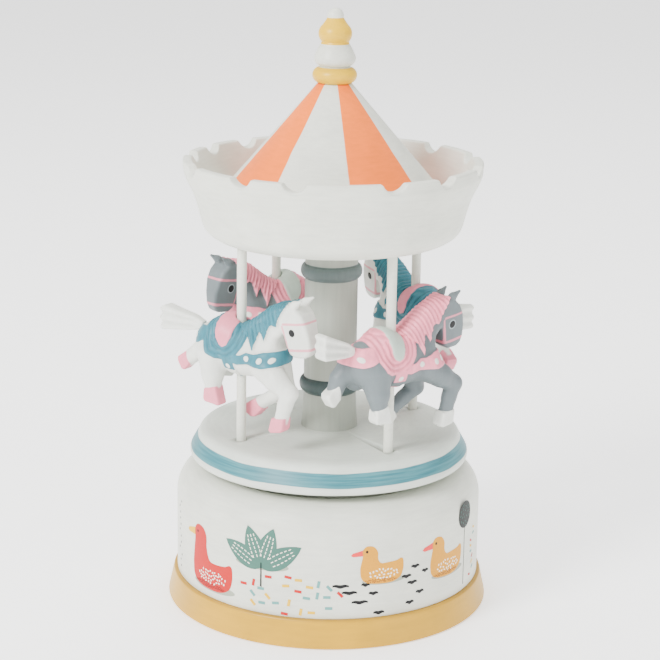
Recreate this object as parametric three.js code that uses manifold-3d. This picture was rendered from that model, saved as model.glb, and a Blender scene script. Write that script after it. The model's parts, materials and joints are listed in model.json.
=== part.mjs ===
// Wind-up carousel music box: a turned wooden base with an eighteen-note movement inside, and a
// carousel of four horses that the movement turns. Millimetres, +Z up, origin at the centre of the
// foot's underside, front towards -Y. Turning the carousel by hand winds the spring.
import * as THREE from 'three';
import { ConvexGeometry } from 'three/addons/geometries/ConvexGeometry.js';
import { mergeVertices } from 'three/addons/utils/BufferGeometryUtils.js';
import Module from 'manifold-3d';

const wasm = await Module();
wasm.setup();

// ---------------------------------------------------------------- driving dimensions
const TURN_SIDES = 32;           // sides of the large turned pieces
const FOOT_R = 55;
const FOOT_TOP_R = 52.9;
const FOOT_TOP = 9.2;            // height of the seam between foot and drum
const DRUM_R = 51.8;
const DRUM_TOP = 46.5;
const CAVITY_R = 45;             // room for the movement
const CAVITY_TOP = 33;
const DECK_BOTTOM = 49.5;        // turntable
const DECK_TOP = 59.4;
const DECK_R = 47.5;
const CANOPY_BOTTOM = 125;
const CANOPY_FLOOR = 136;        // where the roof cone stands
const RIM_TOP = 151;
const RIM_R = 49.9;
const ROOF_SLOPE = 0.8635;       // radius gained per millimetre down from the roof's virtual apex
const ROOF_APEX = 182.5;
const ROOF_TOP = 175.9;          // seat of the finial

const POLE_CIRCLE_R = 35;
const POLE_R = 1.6;
const FIRST_POLE_DEG = 213.6;    // azimuth of horse 1, counter-clockwise from +X
const HORSE_TURNS_DEG = [22, 4, -1, 7];   // how far each horse heads inside the tangent
const HORSE_RAISE = 1.5;         // how far up its pole each horse is fixed
const LIFT = 2.2;                // each horse rises and falls this far from mid height
const TRACK_HIGH_DEG = 90;       // azimuth of the wave track's crest
const FIT = 0.1;                 // radial gap of a glued or pressed joint
const RUNNING = 0.05;            // radial gap of a shaft in its bearing

// The movement hangs under the drum's web, its winding arbor on the carousel's axis.
const PLATE_BOTTOM = 31;
const ARBOR_R = 2;
const SHAFT_Z = 14;              // height of the cylinder's axis, which runs along +X
const SHAFT_R = 1;
const CYLINDER_R = 6.3;
const CYLINDER_X = [15.5, 33];
const CROWN_TEETH = 24;
const CROWN_R = 12;
const CYLINDER_PINION_TEETH = 9;
const TRAIN_WHEEL_TEETH = 30;
const TRAIN_PINION_TEETH = 10;
const TRAIN_MODULE = 0.575;
const WORM_WHEEL_TEETH = 16;
const WORM_MODULE = 0.45;
const WORM_R = 1.4;
const COMB_TEETH = 18;
const COMB_SCREWS = [[19, 17], [30, 17]];
const BRACKET_SCREW = [31, 0];
const GOVERNOR_SCREW = [31, -18.5];
const PLATE_THREAD_R = 0.8;      // the bedplate's threaded holes

// ---------------------------------------------------------------- finishes
const finish = (color, roughness, metalness = 0) =>
  new THREE.MeshStandardMaterial({ color, roughness, metalness });
const WHITE_PAINT = finish('#dadbd6', 0.5);
const YELLOW_PAINT = finish('#ebc34b', 0.45);
const ORANGE_PAINT = finish('#f5a370', 0.5);
const HORSE_WHITE = finish('#ebebe8', 0.45);
const HORSE_GREY = finish('#96a3aa', 0.45);
const BARE_WOOD = finish('#c9a878', 0.8);
const NYLON = finish('#e8e4d8', 0.5);
const STEEL = finish('#9aa0a4', 0.35, 1);
const BRASS = finish('#c8a353', 0.35, 1);
const PLATED = finish('#c4c6c8', 0.3, 1);

// ---------------------------------------------------------------- solids
const X_AXIS = new THREE.Matrix4().makeBasis(
  new THREE.Vector3(0, 1, 0), new THREE.Vector3(0, 0, 1), new THREE.Vector3(1, 0, 0));

// A closed geometry as a manifold solid, turned inside out if its faces point in.
function solid(geometry) {
  const bare = geometry.clone();
  bare.deleteAttribute('normal');
  bare.deleteAttribute('uv');
  const merged = mergeVertices(bare, 1e-3);
  const place = merged.attributes.position;
  const index = merged.index.array;
  const corner = [0, 1, 2].map(() => new THREE.Vector3());
  const faces = [];
  let volume = 0;
  for (let i = 0; i < index.length; i += 3) {
    const [a, b, c] = index.slice(i, i + 3);
    if (a === b || b === c || c === a) continue;
    [a, b, c].forEach((v, k) => corner[k].fromBufferAttribute(place, v));
    volume += corner[0].dot(corner[1].cross(corner[2]));
    faces.push([a, b, c]);
  }
  const order = volume < 0 ? faces.map(([a, b, c]) => [a, c, b]) : faces;
  return new wasm.Manifold(new wasm.Mesh({
    numProp: 3,
    vertProperties: new Float32Array(place.array),
    triVerts: new Uint32Array(order.flat()),
  }));
}

// A solid of revolution about Z from [radius, height] points, closed on the axis or on itself.
function turned(profile, sides = TURN_SIDES) {
  const outline = profile.map(([r, z]) => new THREE.Vector2(r, z));
  if (outline[0].x > 0 || outline.at(-1).x > 0) outline.push(outline[0].clone());
  return solid(new THREE.LatheGeometry(outline, sides).rotateX(Math.PI / 2));
}

// An upright round bar from z0 to z1.
function bar(r, z0, z1, x = 0, y = 0, sides = 12) {
  return solid(new THREE.CylinderGeometry(r, r, z1 - z0, sides)
    .rotateX(Math.PI / 2)
    .translate(x, y, (z0 + z1) / 2));
}

// A round bar along X from x0 to x1.
function crossBar(r, x0, x1, y, z, sides = 12) {
  return solid(new THREE.CylinderGeometry(r, r, x1 - x0, sides)
    .rotateZ(Math.PI / 2)
    .translate((x0 + x1) / 2, y, z));
}

function block([x0, x1], [y0, y1], [z0, z1]) {
  return solid(new THREE.BoxGeometry(x1 - x0, y1 - y0, z1 - z0)
    .translate((x0 + x1) / 2, (y0 + y1) / 2, (z0 + z1) / 2));
}

// Points of a quarter ellipse about (r, z), from angle a0 to a1 in degrees.
function arc(r, z, acrossR, upZ, a0, a1, steps) {
  return Array.from({ length: steps + 1 }, (_, i) => {
    const a = THREE.MathUtils.degToRad(a0 + ((a1 - a0) * i) / steps);
    return [r + acrossR * Math.cos(a), z + upZ * Math.sin(a)];
  });
}

const joined = (first, ...rest) => rest.reduce((whole, piece) => whole.add(piece), first);
const cut = (first, ...rest) => rest.reduce((whole, piece) => whole.subtract(piece), first);

const group = new THREE.Group();

// Names a solid, gives it its finish and adds it to the scene graph.
function piece(name, made, look, parent = group) {
  const raw = made.getMesh();
  const geometry = new THREE.BufferGeometry();
  geometry.setAttribute('position', new THREE.BufferAttribute(raw.vertProperties, 3));
  geometry.setIndex(new THREE.BufferAttribute(raw.triVerts, 1));
  geometry.computeVertexNormals();
  const mesh = new THREE.Mesh(geometry, look);
  mesh.name = name;
  parent.add(mesh);
  return mesh;
}

// A pan-head screw pointing up: head below z, shank above it.
function screw(name, [x, y, z], headR, headH, shankR, length) {
  piece(name, turned([
    [0, z - headH],
    [headR * 0.8, z - headH],
    [headR, z - headH * 0.5],
    [headR, z],
    [shankR, z],
    [shankR, z + length - shankR],
    [0, z + length],
  ], 7).translate([x, y, 0]), STEEL);
}

const polar = (r, deg) => {
  const a = THREE.MathUtils.degToRad(deg);
  return [r * Math.cos(a), r * Math.sin(a)];
};

// ---------------------------------------------------------------- base
const COVER_TOP = 3.3;
const COVER_R = 48;
const FOOT_OPENING_R = 43.5;
const COVER_SCREWS = [90, 210, 330].map((deg) => polar(45.75, deg));
const WEB_SCREWS = [[-9, 17], [-9, -17], [13.5, 17], [13.5, -17]];
const INNER_LAND_R = 30.4;       // the wave track's channel lies outside this
const CHANNEL_R = 39.8;
const CHANNEL_FLOOR = 36.9;
const RECESS_R = 14;
const RECESS_FLOOR = 43.5;
const SHOULDER_R = 9;
const SHOULDER_H = 10;

function buildBase() {
  const foot = turned([
    [COVER_R, 0],
    [FOOT_R - 0.6, 0],
    [FOOT_R, 0.6],
    [FOOT_TOP_R, FOOT_TOP - 0.5],
    [FOOT_TOP_R - 0.5, FOOT_TOP],
    [FOOT_OPENING_R, FOOT_TOP],
    [FOOT_OPENING_R, COVER_TOP],
    [COVER_R, COVER_TOP],
  ]);
  const pilots = COVER_SCREWS.map(([x, y]) => bar(1.2, COVER_TOP - 1, 8.4, x, y, 10));
  piece('base_foot', cut(foot, ...pilots), YELLOW_PAINT);

  const casing = turned([
    [CAVITY_R, FOOT_TOP],
    [DRUM_R, FOOT_TOP],
    ...arc(DRUM_R - SHOULDER_R, DRUM_TOP - SHOULDER_H, SHOULDER_R, SHOULDER_H, 0, 90, 4),
    [CHANNEL_R, DRUM_TOP],
    [CHANNEL_R, CHANNEL_FLOOR],
    [INNER_LAND_R, CHANNEL_FLOOR],
    [INNER_LAND_R, DRUM_TOP],
    [RECESS_R, DRUM_TOP],
    [RECESS_R, RECESS_FLOOR],
    [ARBOR_R + 0.8, RECESS_FLOOR],
    [ARBOR_R + 0.8, CAVITY_TOP],
    [CAVITY_R, CAVITY_TOP],
  ]);
  const webHoles = WEB_SCREWS.map(([x, y]) => bar(1.2, CAVITY_TOP - 1, 40.5, x, y, 10));
  piece('drum_casing', cut(casing, ...webHoles), WHITE_PAINT);

  const cover = turned([[0, COVER_TOP - 1.8], [COVER_R - 0.4, COVER_TOP - 1.8],
    [COVER_R - 0.4, COVER_TOP], [0, COVER_TOP]]);
  const coverHoles = COVER_SCREWS.map(([x, y]) => bar(1.3, 0, 5, x, y, 10));
  piece('bottom_cover', cut(cover, ...coverHoles), BARE_WOOD);
  COVER_SCREWS.forEach(([x, y], i) =>
    screw(`cover_screw_${i + 1}`, [x, y, COVER_TOP - 1.8], 1.9, 1, 1, 6.3));

  piece('thrust_spacer', turned([
    [ARBOR_R + 0.2, RECESS_FLOOR],
    [ARBOR_R + 1.8, RECESS_FLOOR],
    [ARBOR_R + 1.8, 46.9],
    [ARBOR_R + 0.2, 46.9],
  ], 16), NYLON);
}

// How far the wave track, and the horse above it, stands from mid height at an azimuth.
const waveHeight = (deg) => LIFT * Math.cos(THREE.MathUtils.degToRad(deg - TRACK_HIGH_DEG));

// The wave track has one crest, at the back, and one valley. Its crest stops just short of the
// lowest position of the horses' glides, so that the glides clear it at every height.
function buildWaveTrack() {
  const base = CHANNEL_FLOOR;
  const middle = 43.4;
  const ring = [
    [INNER_LAND_R + 0.5, base],
    [CHANNEL_R - 0.5, base],
    [CHANNEL_R - 0.5, middle],
    [INNER_LAND_R + 0.5, middle],
  ].map(([r, z]) => new THREE.Vector2(r, z));
  const geometry = new THREE.LatheGeometry([...ring, ring[0].clone()], 48).rotateX(Math.PI / 2);
  const place = geometry.attributes.position;
  for (let i = 0; i < place.count; i += 1) {
    if (place.getZ(i) < middle - 1) continue;
    const azimuth = THREE.MathUtils.radToDeg(Math.atan2(place.getY(i), place.getX(i)));
    place.setZ(i, middle + waveHeight(azimuth));
  }
  piece('wave_track', solid(geometry), NYLON);
}

// ---------------------------------------------------------------- movement
// A toothed outline about the origin: trapezoid teeth, the first centred on phase (radians).
function toothed(teeth, pitchR, addendum, dedendum, phase, boreR) {
  const pitch = (2 * Math.PI * pitchR) / teeth;
  const halfAtPitch = pitch * 0.18;
  const flank = Math.tan(THREE.MathUtils.degToRad(20));
  const rootR = pitchR - dedendum;
  const tipR = pitchR + addendum;
  const rootHalf = (halfAtPitch + dedendum * flank) / rootR;
  const tipHalf = (halfAtPitch - addendum * flank) / tipR;
  const outline = [];
  for (let i = 0; i < teeth; i += 1) {
    const mid = phase + (2 * Math.PI * i) / teeth;
    for (const [r, turn] of [[rootR, -rootHalf], [tipR, -tipHalf], [tipR, tipHalf], [rootR, rootHalf]]) {
      outline.push(new THREE.Vector2(r * Math.cos(mid + turn), r * Math.sin(mid + turn)));
    }
  }
  const shape = new THREE.Shape(outline);
  if (boreR) shape.holes.push(new THREE.Path().absarc(0, 0, boreR, 0, 2 * Math.PI));
  return shape;
}

// A gear whose axis runs along X, its near face at x0.
function crossGear(shape, x0, x1, y) {
  return solid(new THREE.ExtrudeGeometry(shape, { depth: x1 - x0, bevelEnabled: false, curveSegments: 8 })
    .applyMatrix4(X_AXIS)
    .translate(x0, y, SHAFT_Z));
}

const TRAIN_WHEEL_R = (TRAIN_WHEEL_TEETH * TRAIN_MODULE) / 2;
const TRAIN_PINION_R = (TRAIN_PINION_TEETH * TRAIN_MODULE) / 2;
const GOVERNOR_Y = -(TRAIN_WHEEL_R + TRAIN_PINION_R);
const WORM_WHEEL_R = (WORM_WHEEL_TEETH * WORM_MODULE) / 2;
const WORM_Y = GOVERNOR_Y - WORM_WHEEL_R - WORM_R;
const WORM_X = 27.5;
const CROWN_MODULE = (2 * CROWN_R) / CROWN_TEETH;
const PINION_R = (CYLINDER_PINION_TEETH * CROWN_MODULE) / 2;
const PINION_X = [10.9, 13.1];
const PINION_ADDENDUM = 0.6;
const PINION_DEDENDUM = 0.8;
const BEARING_X = [13.6, 15.1];
const OUTER_BEARING_X = [35.4, 36.9];
const TRAIN_X = [33.5, 34.9];
const FIRST_TRACK_X = CYLINDER_X[0] + 1.2;   // the cylinder's first row of pins
const COMB_PITCH = (CYLINDER_X[1] - CYLINDER_X[0] - 2.4) / (COMB_TEETH - 1);

function buildBedplate() {
  const holes = WEB_SCREWS.map(([x, y]) => bar(1.4, 30, 34, x, y, 10));
  const plate = cut(
    joined(
      block([-13, 37], [-21, 21], [PLATE_BOTTOM, CAVITY_TOP]),
      block([16, 33.5], [13.5, 20.5], [14.7, PLATE_BOTTOM + 1]),
      block(BEARING_X, [-3.2, 3.2], [10.8, PLATE_BOTTOM + 1]),
    ),
    ...holes,
    bar(ARBOR_R + 0.3, 30, 34),
    crossBar(SHAFT_R + RUNNING, BEARING_X[0] - 1, BEARING_X[1] + 1, 0, SHAFT_Z),
    ...COMB_SCREWS.map(([x, y]) => bar(PLATE_THREAD_R, 14, 20, x, y, 10)),
    bar(PLATE_THREAD_R, 30, 34, ...BRACKET_SCREW, 10),
    bar(PLATE_THREAD_R, 30, 34, ...GOVERNOR_SCREW, 10),
  );
  piece('movement_bedplate', plate, PLATED);
  WEB_SCREWS.forEach(([x, y], i) =>
    screw(`movement_screw_${i + 1}`, [x, y, PLATE_BOTTOM], 2.2, 1.2, 1, 9));
}

function buildSpring() {
  const floor = 20.6;
  const wall = 0.8;
  const outerR = 11.5;
  piece('spring_housing', turned([
    [ARBOR_R + 0.3, floor],
    [outerR, floor],
    [outerR, PLATE_BOTTOM],
    [outerR - wall, PLATE_BOTTOM],
    [outerR - wall, floor + wall],
    [ARBOR_R + 0.3, floor + wall],
  ], 32), PLATED);

  const turns = 4;
  const steps = turns * 12;
  const strip = 0.45;
  const edge = (offset) => Array.from({ length: steps + 1 }, (_, i) => {
    const r = 3.1 + ((outerR - wall - 1.2 - 3.1) * i) / steps + offset;
    const a = (2 * Math.PI * turns * i) / steps;
    return new THREE.Vector2(r * Math.cos(a), r * Math.sin(a));
  });
  const outline = new THREE.Shape([...edge(0), ...edge(strip).reverse()]);
  piece('mainspring', solid(new THREE.ExtrudeGeometry(outline, { depth: 8, bevelEnabled: false })
    .translate(0, 0, floor + wall + 0.4)), STEEL);
}

// Winding arbor and, under the spring, the crown wheel that drives the cylinder's pinion.
function buildWinding() {
  const pitchZ = SHAFT_Z + PINION_R;
  const rootZ = pitchZ + PINION_DEDENDUM;
  const tipZ = pitchZ - PINION_ADDENDUM;
  const pitch = (2 * Math.PI * CROWN_R) / CROWN_TEETH;
  const flank = Math.tan(THREE.MathUtils.degToRad(20));
  const tipHalf = pitch * 0.18 - PINION_ADDENDUM * flank;
  const rootHalf = pitch * 0.18 + PINION_DEDENDUM * flank;
  const tooth = new THREE.Shape([
    new THREE.Vector2(-tipHalf, tipZ),
    new THREE.Vector2(tipHalf, tipZ),
    new THREE.Vector2(rootHalf, rootZ),
    new THREE.Vector2(rootHalf, rootZ + 0.3),
    new THREE.Vector2(-rootHalf, rootZ + 0.3),
    new THREE.Vector2(-rootHalf, rootZ),
  ]);
  const width = PINION_X[1] - PINION_X[0];
  let wheel = turned([
    [ARBOR_R + RUNNING, rootZ],
    [PINION_X[1], rootZ],
    [PINION_X[1], rootZ + 1],
    [ARBOR_R + RUNNING, rootZ + 1],
  ], 32);
  for (let i = 0; i < CROWN_TEETH; i += 1) {
    wheel = wheel.add(solid(new THREE.ExtrudeGeometry(tooth, { depth: width, bevelEnabled: false })
      .applyMatrix4(X_AXIS)
      .translate(PINION_X[0], 0, 0)
      .rotateZ((2 * Math.PI * i) / CROWN_TEETH)));
  }
  piece('crown_wheel', wheel, BRASS);
  piece('winding_arbor', turned([
    [0, 17.6],
    [ARBOR_R - 0.4, 17.6],
    [ARBOR_R, 18],
    [ARBOR_R, 52.4],
    [0, 52.4],
  ], 16), STEEL);
}

function buildCylinder() {
  const pinHeight = 0.45;
  const pinRoot = 0.5;
  const rows = 16;
  let drum = joined(
    crossBar(CYLINDER_R, ...CYLINDER_X, 0, SHAFT_Z, 24),
    crossBar(SHAFT_R, PINION_X[0] - 0.3, OUTER_BEARING_X[1] + 0.3, 0, SHAFT_Z, 12),
  );
  for (let i = 0; i < COMB_TEETH; i += 1) {
    const x = FIRST_TRACK_X + i * COMB_PITCH;
    const row = (i * 7) % rows;
    drum = drum.add(solid(new THREE.CylinderGeometry(0.2, 0.2, pinHeight + pinRoot, 4)
      .translate(0, CYLINDER_R + (pinHeight - pinRoot) / 2, 0)
      .rotateX((2 * Math.PI * (row + 0.5)) / rows)
      .translate(x, 0, SHAFT_Z)));
  }
  piece('music_cylinder', drum, BRASS);

  const gap = Math.PI / 2 + Math.PI / CYLINDER_PINION_TEETH;
  piece('cylinder_pinion', crossGear(
    toothed(CYLINDER_PINION_TEETH, PINION_R, PINION_ADDENDUM, PINION_DEDENDUM, gap, SHAFT_R + RUNNING),
    ...PINION_X, 0), BRASS);
  piece('train_wheel', crossGear(
    toothed(TRAIN_WHEEL_TEETH, TRAIN_WHEEL_R, 0.4, 0.6, 0, SHAFT_R + RUNNING), ...TRAIN_X, 0), BRASS);

  const bracket = cut(
    joined(
      block(OUTER_BEARING_X, [-3.2, 3.2], [10.8, PLATE_BOTTOM]),
      block([28, OUTER_BEARING_X[1]], [-3.2, 3.2], [PLATE_BOTTOM - 1.3, PLATE_BOTTOM]),
    ),
    crossBar(SHAFT_R + RUNNING, OUTER_BEARING_X[0] - 1, OUTER_BEARING_X[1] + 1, 0, SHAFT_Z),
    bar(1, 29, 32, ...BRACKET_SCREW, 10),
  );
  piece('cylinder_bracket', bracket, PLATED);
  screw('bracket_screw', [...BRACKET_SCREW, PLATE_BOTTOM - 1.3], 1.5, 0.8, 0.7, 3.1);
}

function buildComb() {
  const tipY = CYLINDER_R + 0.65;
  const rootY = 13;
  const backY = 20;
  const half = COMB_PITCH / 2 - 0.15;
  const underside = SHAFT_Z - 0.2;
  const start = FIRST_TRACK_X - COMB_PITCH / 2;
  const end = start + COMB_TEETH * COMB_PITCH;
  const outline = [[start, backY], [start, rootY]];
  for (let i = 0; i < COMB_TEETH; i += 1) {
    const x = FIRST_TRACK_X + i * COMB_PITCH;
    outline.push([x - half, rootY], [x - half * 0.6, tipY], [x + half * 0.6, tipY], [x + half, rootY]);
  }
  outline.push([end, rootY], [end, backY]);
  const shape = new THREE.Shape(outline.map(([x, y]) => new THREE.Vector2(x, y)));
  const plate = solid(new THREE.ExtrudeGeometry(shape, { depth: 0.9, bevelEnabled: false })
    .translate(0, 0, underside));
  const holes = COMB_SCREWS.map(([x, y]) => bar(1, 13, 16, x, y, 10));
  piece('comb', cut(plate, ...holes), STEEL);
  COMB_SCREWS.forEach(([x, y], i) =>
    screw(`comb_screw_${i + 1}`, [x, y, underside], 1.7, 1, 0.7, 5.6));
}

// The air brake: a pinion and worm wheel on one arbor, and a worm with a fan above it.
function buildGovernor() {
  const halfPitch = Math.PI / TRAIN_PINION_TEETH;
  const pinion = toothed(TRAIN_PINION_TEETH, TRAIN_PINION_R, 0.4, 0.6, halfPitch);
  const wormWheel = toothed(WORM_WHEEL_TEETH, WORM_WHEEL_R, 0.35, 0.55, 0);
  const wheel = joined(
    crossGear(pinion, 33.2, 35.2, GOVERNOR_Y),
    crossGear(wormWheel, WORM_X - 0.5, WORM_X + 0.5, GOVERNOR_Y),
    crossBar(0.8, 21.6, 36.8, GOVERNOR_Y, SHAFT_Z, 10),
  );
  piece('governor_wheel', wheel, BRASS);

  const lead = Math.PI * WORM_MODULE;
  const threadLength = 4.2;
  const threadBottom = SHAFT_Z - threadLength / 2;
  const turnPerMm = (2 * Math.PI) / lead;
  const sides = 10;
  const crestR = WORM_R + 0.4;
  const rootR = WORM_R - 0.5;
  const section = Array.from({ length: sides }, (_, i) => {
    const share = Math.abs(((i / sides + 0.5) % 1) - 0.5);
    const sloped = THREE.MathUtils.mapLinear(share, 0.08, 0.24, crestR, rootR);
    const r = THREE.MathUtils.clamp(sloped, rootR, crestR);
    const a = (2 * Math.PI * i) / sides;
    return new THREE.Vector2(r * Math.cos(a), r * Math.sin(a));
  });
  const thread = new THREE.ExtrudeGeometry(new THREE.Shape(section),
    { depth: threadLength, steps: 20, bevelEnabled: false });
  const place = thread.attributes.position;
  const point = new THREE.Vector3();
  // Facing the wheel, half a pitch from its middle tooth, stands a thread.
  const start = Math.PI / 2 - turnPerMm * (threadLength / 2 + lead / 2);
  for (let i = 0; i < place.count; i += 1) {
    point.fromBufferAttribute(place, i);
    point.applyAxisAngle(new THREE.Vector3(0, 0, 1), start + turnPerMm * point.z);
    place.setXYZ(i, point.x, point.y, point.z + threadBottom);
  }
  const worm = joined(
    solid(thread),
    bar(0.6, 8, 30.2, 0, 0, 10),
    block([-4, 4], [-0.3, 0.3], [20.6, 27]),
    bar(1.2, 19.8, 27.6, 0, 0, 10),
  ).translate([WORM_X, WORM_Y, 0]);
  piece('governor_worm', worm, PLATED);

  const pivot = SHAFT_R - 0.2 + RUNNING;
  const frame = cut(
    joined(
      block([21.6, 36.9], [-20, -7.5], [PLATE_BOTTOM - 1.3, PLATE_BOTTOM]),
      block([21.6, 23], [-18, -7.5], [7.4, PLATE_BOTTOM]),
      block([35.6, 36.9], [GOVERNOR_Y - 2.5, GOVERNOR_Y + 2.5], [11, PLATE_BOTTOM]),
      block([21.6, 29.2], [-18, -13.4], [7.2, 8.6]),
    ),
    crossBar(pivot, 20, 38, GOVERNOR_Y, SHAFT_Z, 10),
    bar(0.65, 7.8, 31, WORM_X, WORM_Y, 10),
    bar(1, 29, 32, ...GOVERNOR_SCREW, 10),
  );
  piece('governor_frame', frame, PLATED);
  screw('governor_screw', [...GOVERNOR_SCREW, PLATE_BOTTOM - 1.3], 1.5, 0.8, 0.7, 3.1);
}

// ---------------------------------------------------------------- carousel
const HUB_FLANGE = [47, DECK_BOTTOM];
const SPIGOT_R = 5.7;
const SPIGOT_BORE_R = SPIGOT_R + FIT;
const GROOVE_TOP = 54.5;         // room for the glides under the turntable
const POLE_HOLE_R = 2.15;
const POLE_DEGS = [0, 1, 2, 3].map((i) => FIRST_POLE_DEG + 90 * i);
const HUB_SCREWS = [0, 120, 240].map((deg) => polar(8, deg));

function buildTurntable() {
  const deck = turned([
    [SPIGOT_BORE_R, DECK_BOTTOM],
    [INNER_LAND_R, DECK_BOTTOM],
    [INNER_LAND_R, GROOVE_TOP],
    [CHANNEL_R, GROOVE_TOP],
    [CHANNEL_R, DECK_BOTTOM],
    [DECK_R - 1.2, DECK_BOTTOM],
    ...arc(DECK_R - 2.2, 51.3, 2.2, 1.8, -45, 25, 2),
    [44.6, 56.6],
    ...arc(41.8, DECK_TOP - 2.3, 2.5, 2.3, 15, 90, 2),
    [SPIGOT_BORE_R, DECK_TOP],
  ]);
  const holes = POLE_DEGS.map((deg) => bar(POLE_HOLE_R, 54, 60, ...polar(POLE_CIRCLE_R, deg), 10));
  const hubHoles = HUB_SCREWS.map(([x, y]) => bar(1, 49, 55.4, x, y, 10));
  piece('turntable', cut(deck, ...holes, ...hubHoles), WHITE_PAINT);

  const hub = turned([
    [ARBOR_R + RUNNING, HUB_FLANGE[0]],
    [11, HUB_FLANGE[0]],
    [11, HUB_FLANGE[1]],
    [SPIGOT_R - 0.4, HUB_FLANGE[1]],
    [SPIGOT_R - 0.4, 53],
    [ARBOR_R + RUNNING, 53],
  ], 24);
  piece('drive_hub', cut(hub, ...HUB_SCREWS.map(([x, y]) => bar(1.1, 46, 50, x, y, 10))), BRASS);
  HUB_SCREWS.forEach(([x, y], i) => screw(`hub_screw_${i + 1}`, [x, y, HUB_FLANGE[0]], 1.8, 1, 0.8, 8));
}

// The column's two beads are turned with it.
function buildColumn() {
  const bead = (z, r, h) => arc(9.1, z, r - 9.1, h / 2, -90, 90, 3);
  piece('column', turned([
    [0, 54.4],
    [SPIGOT_R, 54.4],
    [SPIGOT_R, DECK_TOP],
    [9.5, DECK_TOP],
    [9.3, DECK_TOP + 2.5],
    ...bead(74.1, 10.4, 4.7),
    ...bead(113.3, 10.35, 4.5),
    [8.9, CANOPY_BOTTOM],
    [SPIGOT_R, CANOPY_BOTTOM],
    [SPIGOT_R, 131],
    [0, 131],
  ], 20), WHITE_PAINT);
}

const DOWEL_R = 3;
const NOTCH_R = 4.2;
const NOTCH_DEPTH = 2.8;
// Hand-cut scoops along the rim, unevenly spaced as on the real piece.
const NOTCH_DEGS = [-126, -104, -67, -43, -16, 14, 43, 72, 101, 130, 152, 172, 203];

function buildCanopy() {
  const wall = new THREE.SplineCurve([
    [43.2, 129], [44, 133], [45.6, 138.2], [48.1, 143.6], [RIM_R - 0.4, 147.6],
  ].map(([r, z]) => new THREE.Vector2(r, z))).getPoints(5).map((p) => [p.x, p.y]);
  const bowl = turned([
    [0, 131.2],
    [SPIGOT_BORE_R, 131.2],
    [SPIGOT_BORE_R, CANOPY_BOTTOM],
    ...arc(39, 129, 4.2, 4, -90, -30, 2),
    ...wall,
    ...arc(RIM_R - 1.9, RIM_TOP - 1.9, 1.9, 1.9, 15, 150, 3),
    [43.6, 140.5],
    [41.6, 136.9],
    [40.8, CANOPY_FLOOR],
    [DOWEL_R + FIT, CANOPY_FLOOR],
    [DOWEL_R + FIT, 132.2],
    [0, 132.2],
  ]);
  const scoops = NOTCH_DEGS.map((deg) => solid(new THREE.CylinderGeometry(NOTCH_R, NOTCH_R, 12, 10)
    .rotateZ(Math.PI / 2)
    .translate(RIM_R - 2, 0, RIM_TOP + NOTCH_R - NOTCH_DEPTH)
    .rotateZ(THREE.MathUtils.degToRad(deg))));
  const bores = POLE_DEGS.map((deg) => bar(POLE_R + 0.5, 124, 134.6, ...polar(POLE_CIRCLE_R, deg), 10));
  piece('canopy', cut(bowl, ...scoops, ...bores), WHITE_PAINT);
}

function buildRoof() {
  const roofR = (z) => (ROOF_APEX - z) * ROOF_SLOPE;
  piece('roof_dowel', bar(DOWEL_R, 132.4, 146, 0, 0, 14), BARE_WOOD);
  piece('roof_cone', turned([
    [DOWEL_R + FIT, CANOPY_FLOOR],
    [roofR(CANOPY_FLOOR) - 0.9, CANOPY_FLOOR],
    [roofR(CANOPY_FLOOR + 0.7), CANOPY_FLOOR + 0.7],
    [roofR(ROOF_TOP), ROOF_TOP],
    [2.6, ROOF_TOP],
    [2.6, 169],
    [0, 169],
    [0, 146.3],
    [DOWEL_R + FIT, 146.3],
  ]), ORANGE_PAINT);
  piece('finial', turned([
    [0, 169.3],
    [2.5, 169.3],
    [2.5, ROOF_TOP],
    ...arc(4.6, 178.65, 2.75, 2.75, -90, 80, 4),
    ...arc(4.1, 185, 2.75, 3.4, -70, 75, 4),
    ...arc(2, 192.2, 3.5, 4.2, -65, 60, 3),
    [3, 197.3],
    ...arc(0, 197.6, 2.8, 2.9, 10, 90, 2),
  ], 16), YELLOW_PAINT);
}

// ---------------------------------------------------------------- horses
// A horse's own frame: origin on the pole's axis at floor level, +X ahead, +Y its left side. Its
// shapes are laid out HORSE_RAISE below where they end up.
// A limb is the hull of balls, each [x, y, z, radius]; large balls are rounder.
const FINE_BALL_R = 6.5;
const BARREL = [[12, 0, 90, 7.2], [2, 0, 90.3, 7.9], [-9.5, 0, 90.8, 7.4]];

function limb(...balls) {
  const points = [];
  for (const [x, y, z, r] of balls) {
    const ball = new THREE.IcosahedronGeometry(r, r > FINE_BALL_R ? 1 : 0).translate(x, y, z);
    const place = ball.attributes.position;
    for (let i = 0; i < place.count; i += 1) points.push(new THREE.Vector3().fromBufferAttribute(place, i));
  }
  return solid(new ConvexGeometry(points));
}

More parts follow.
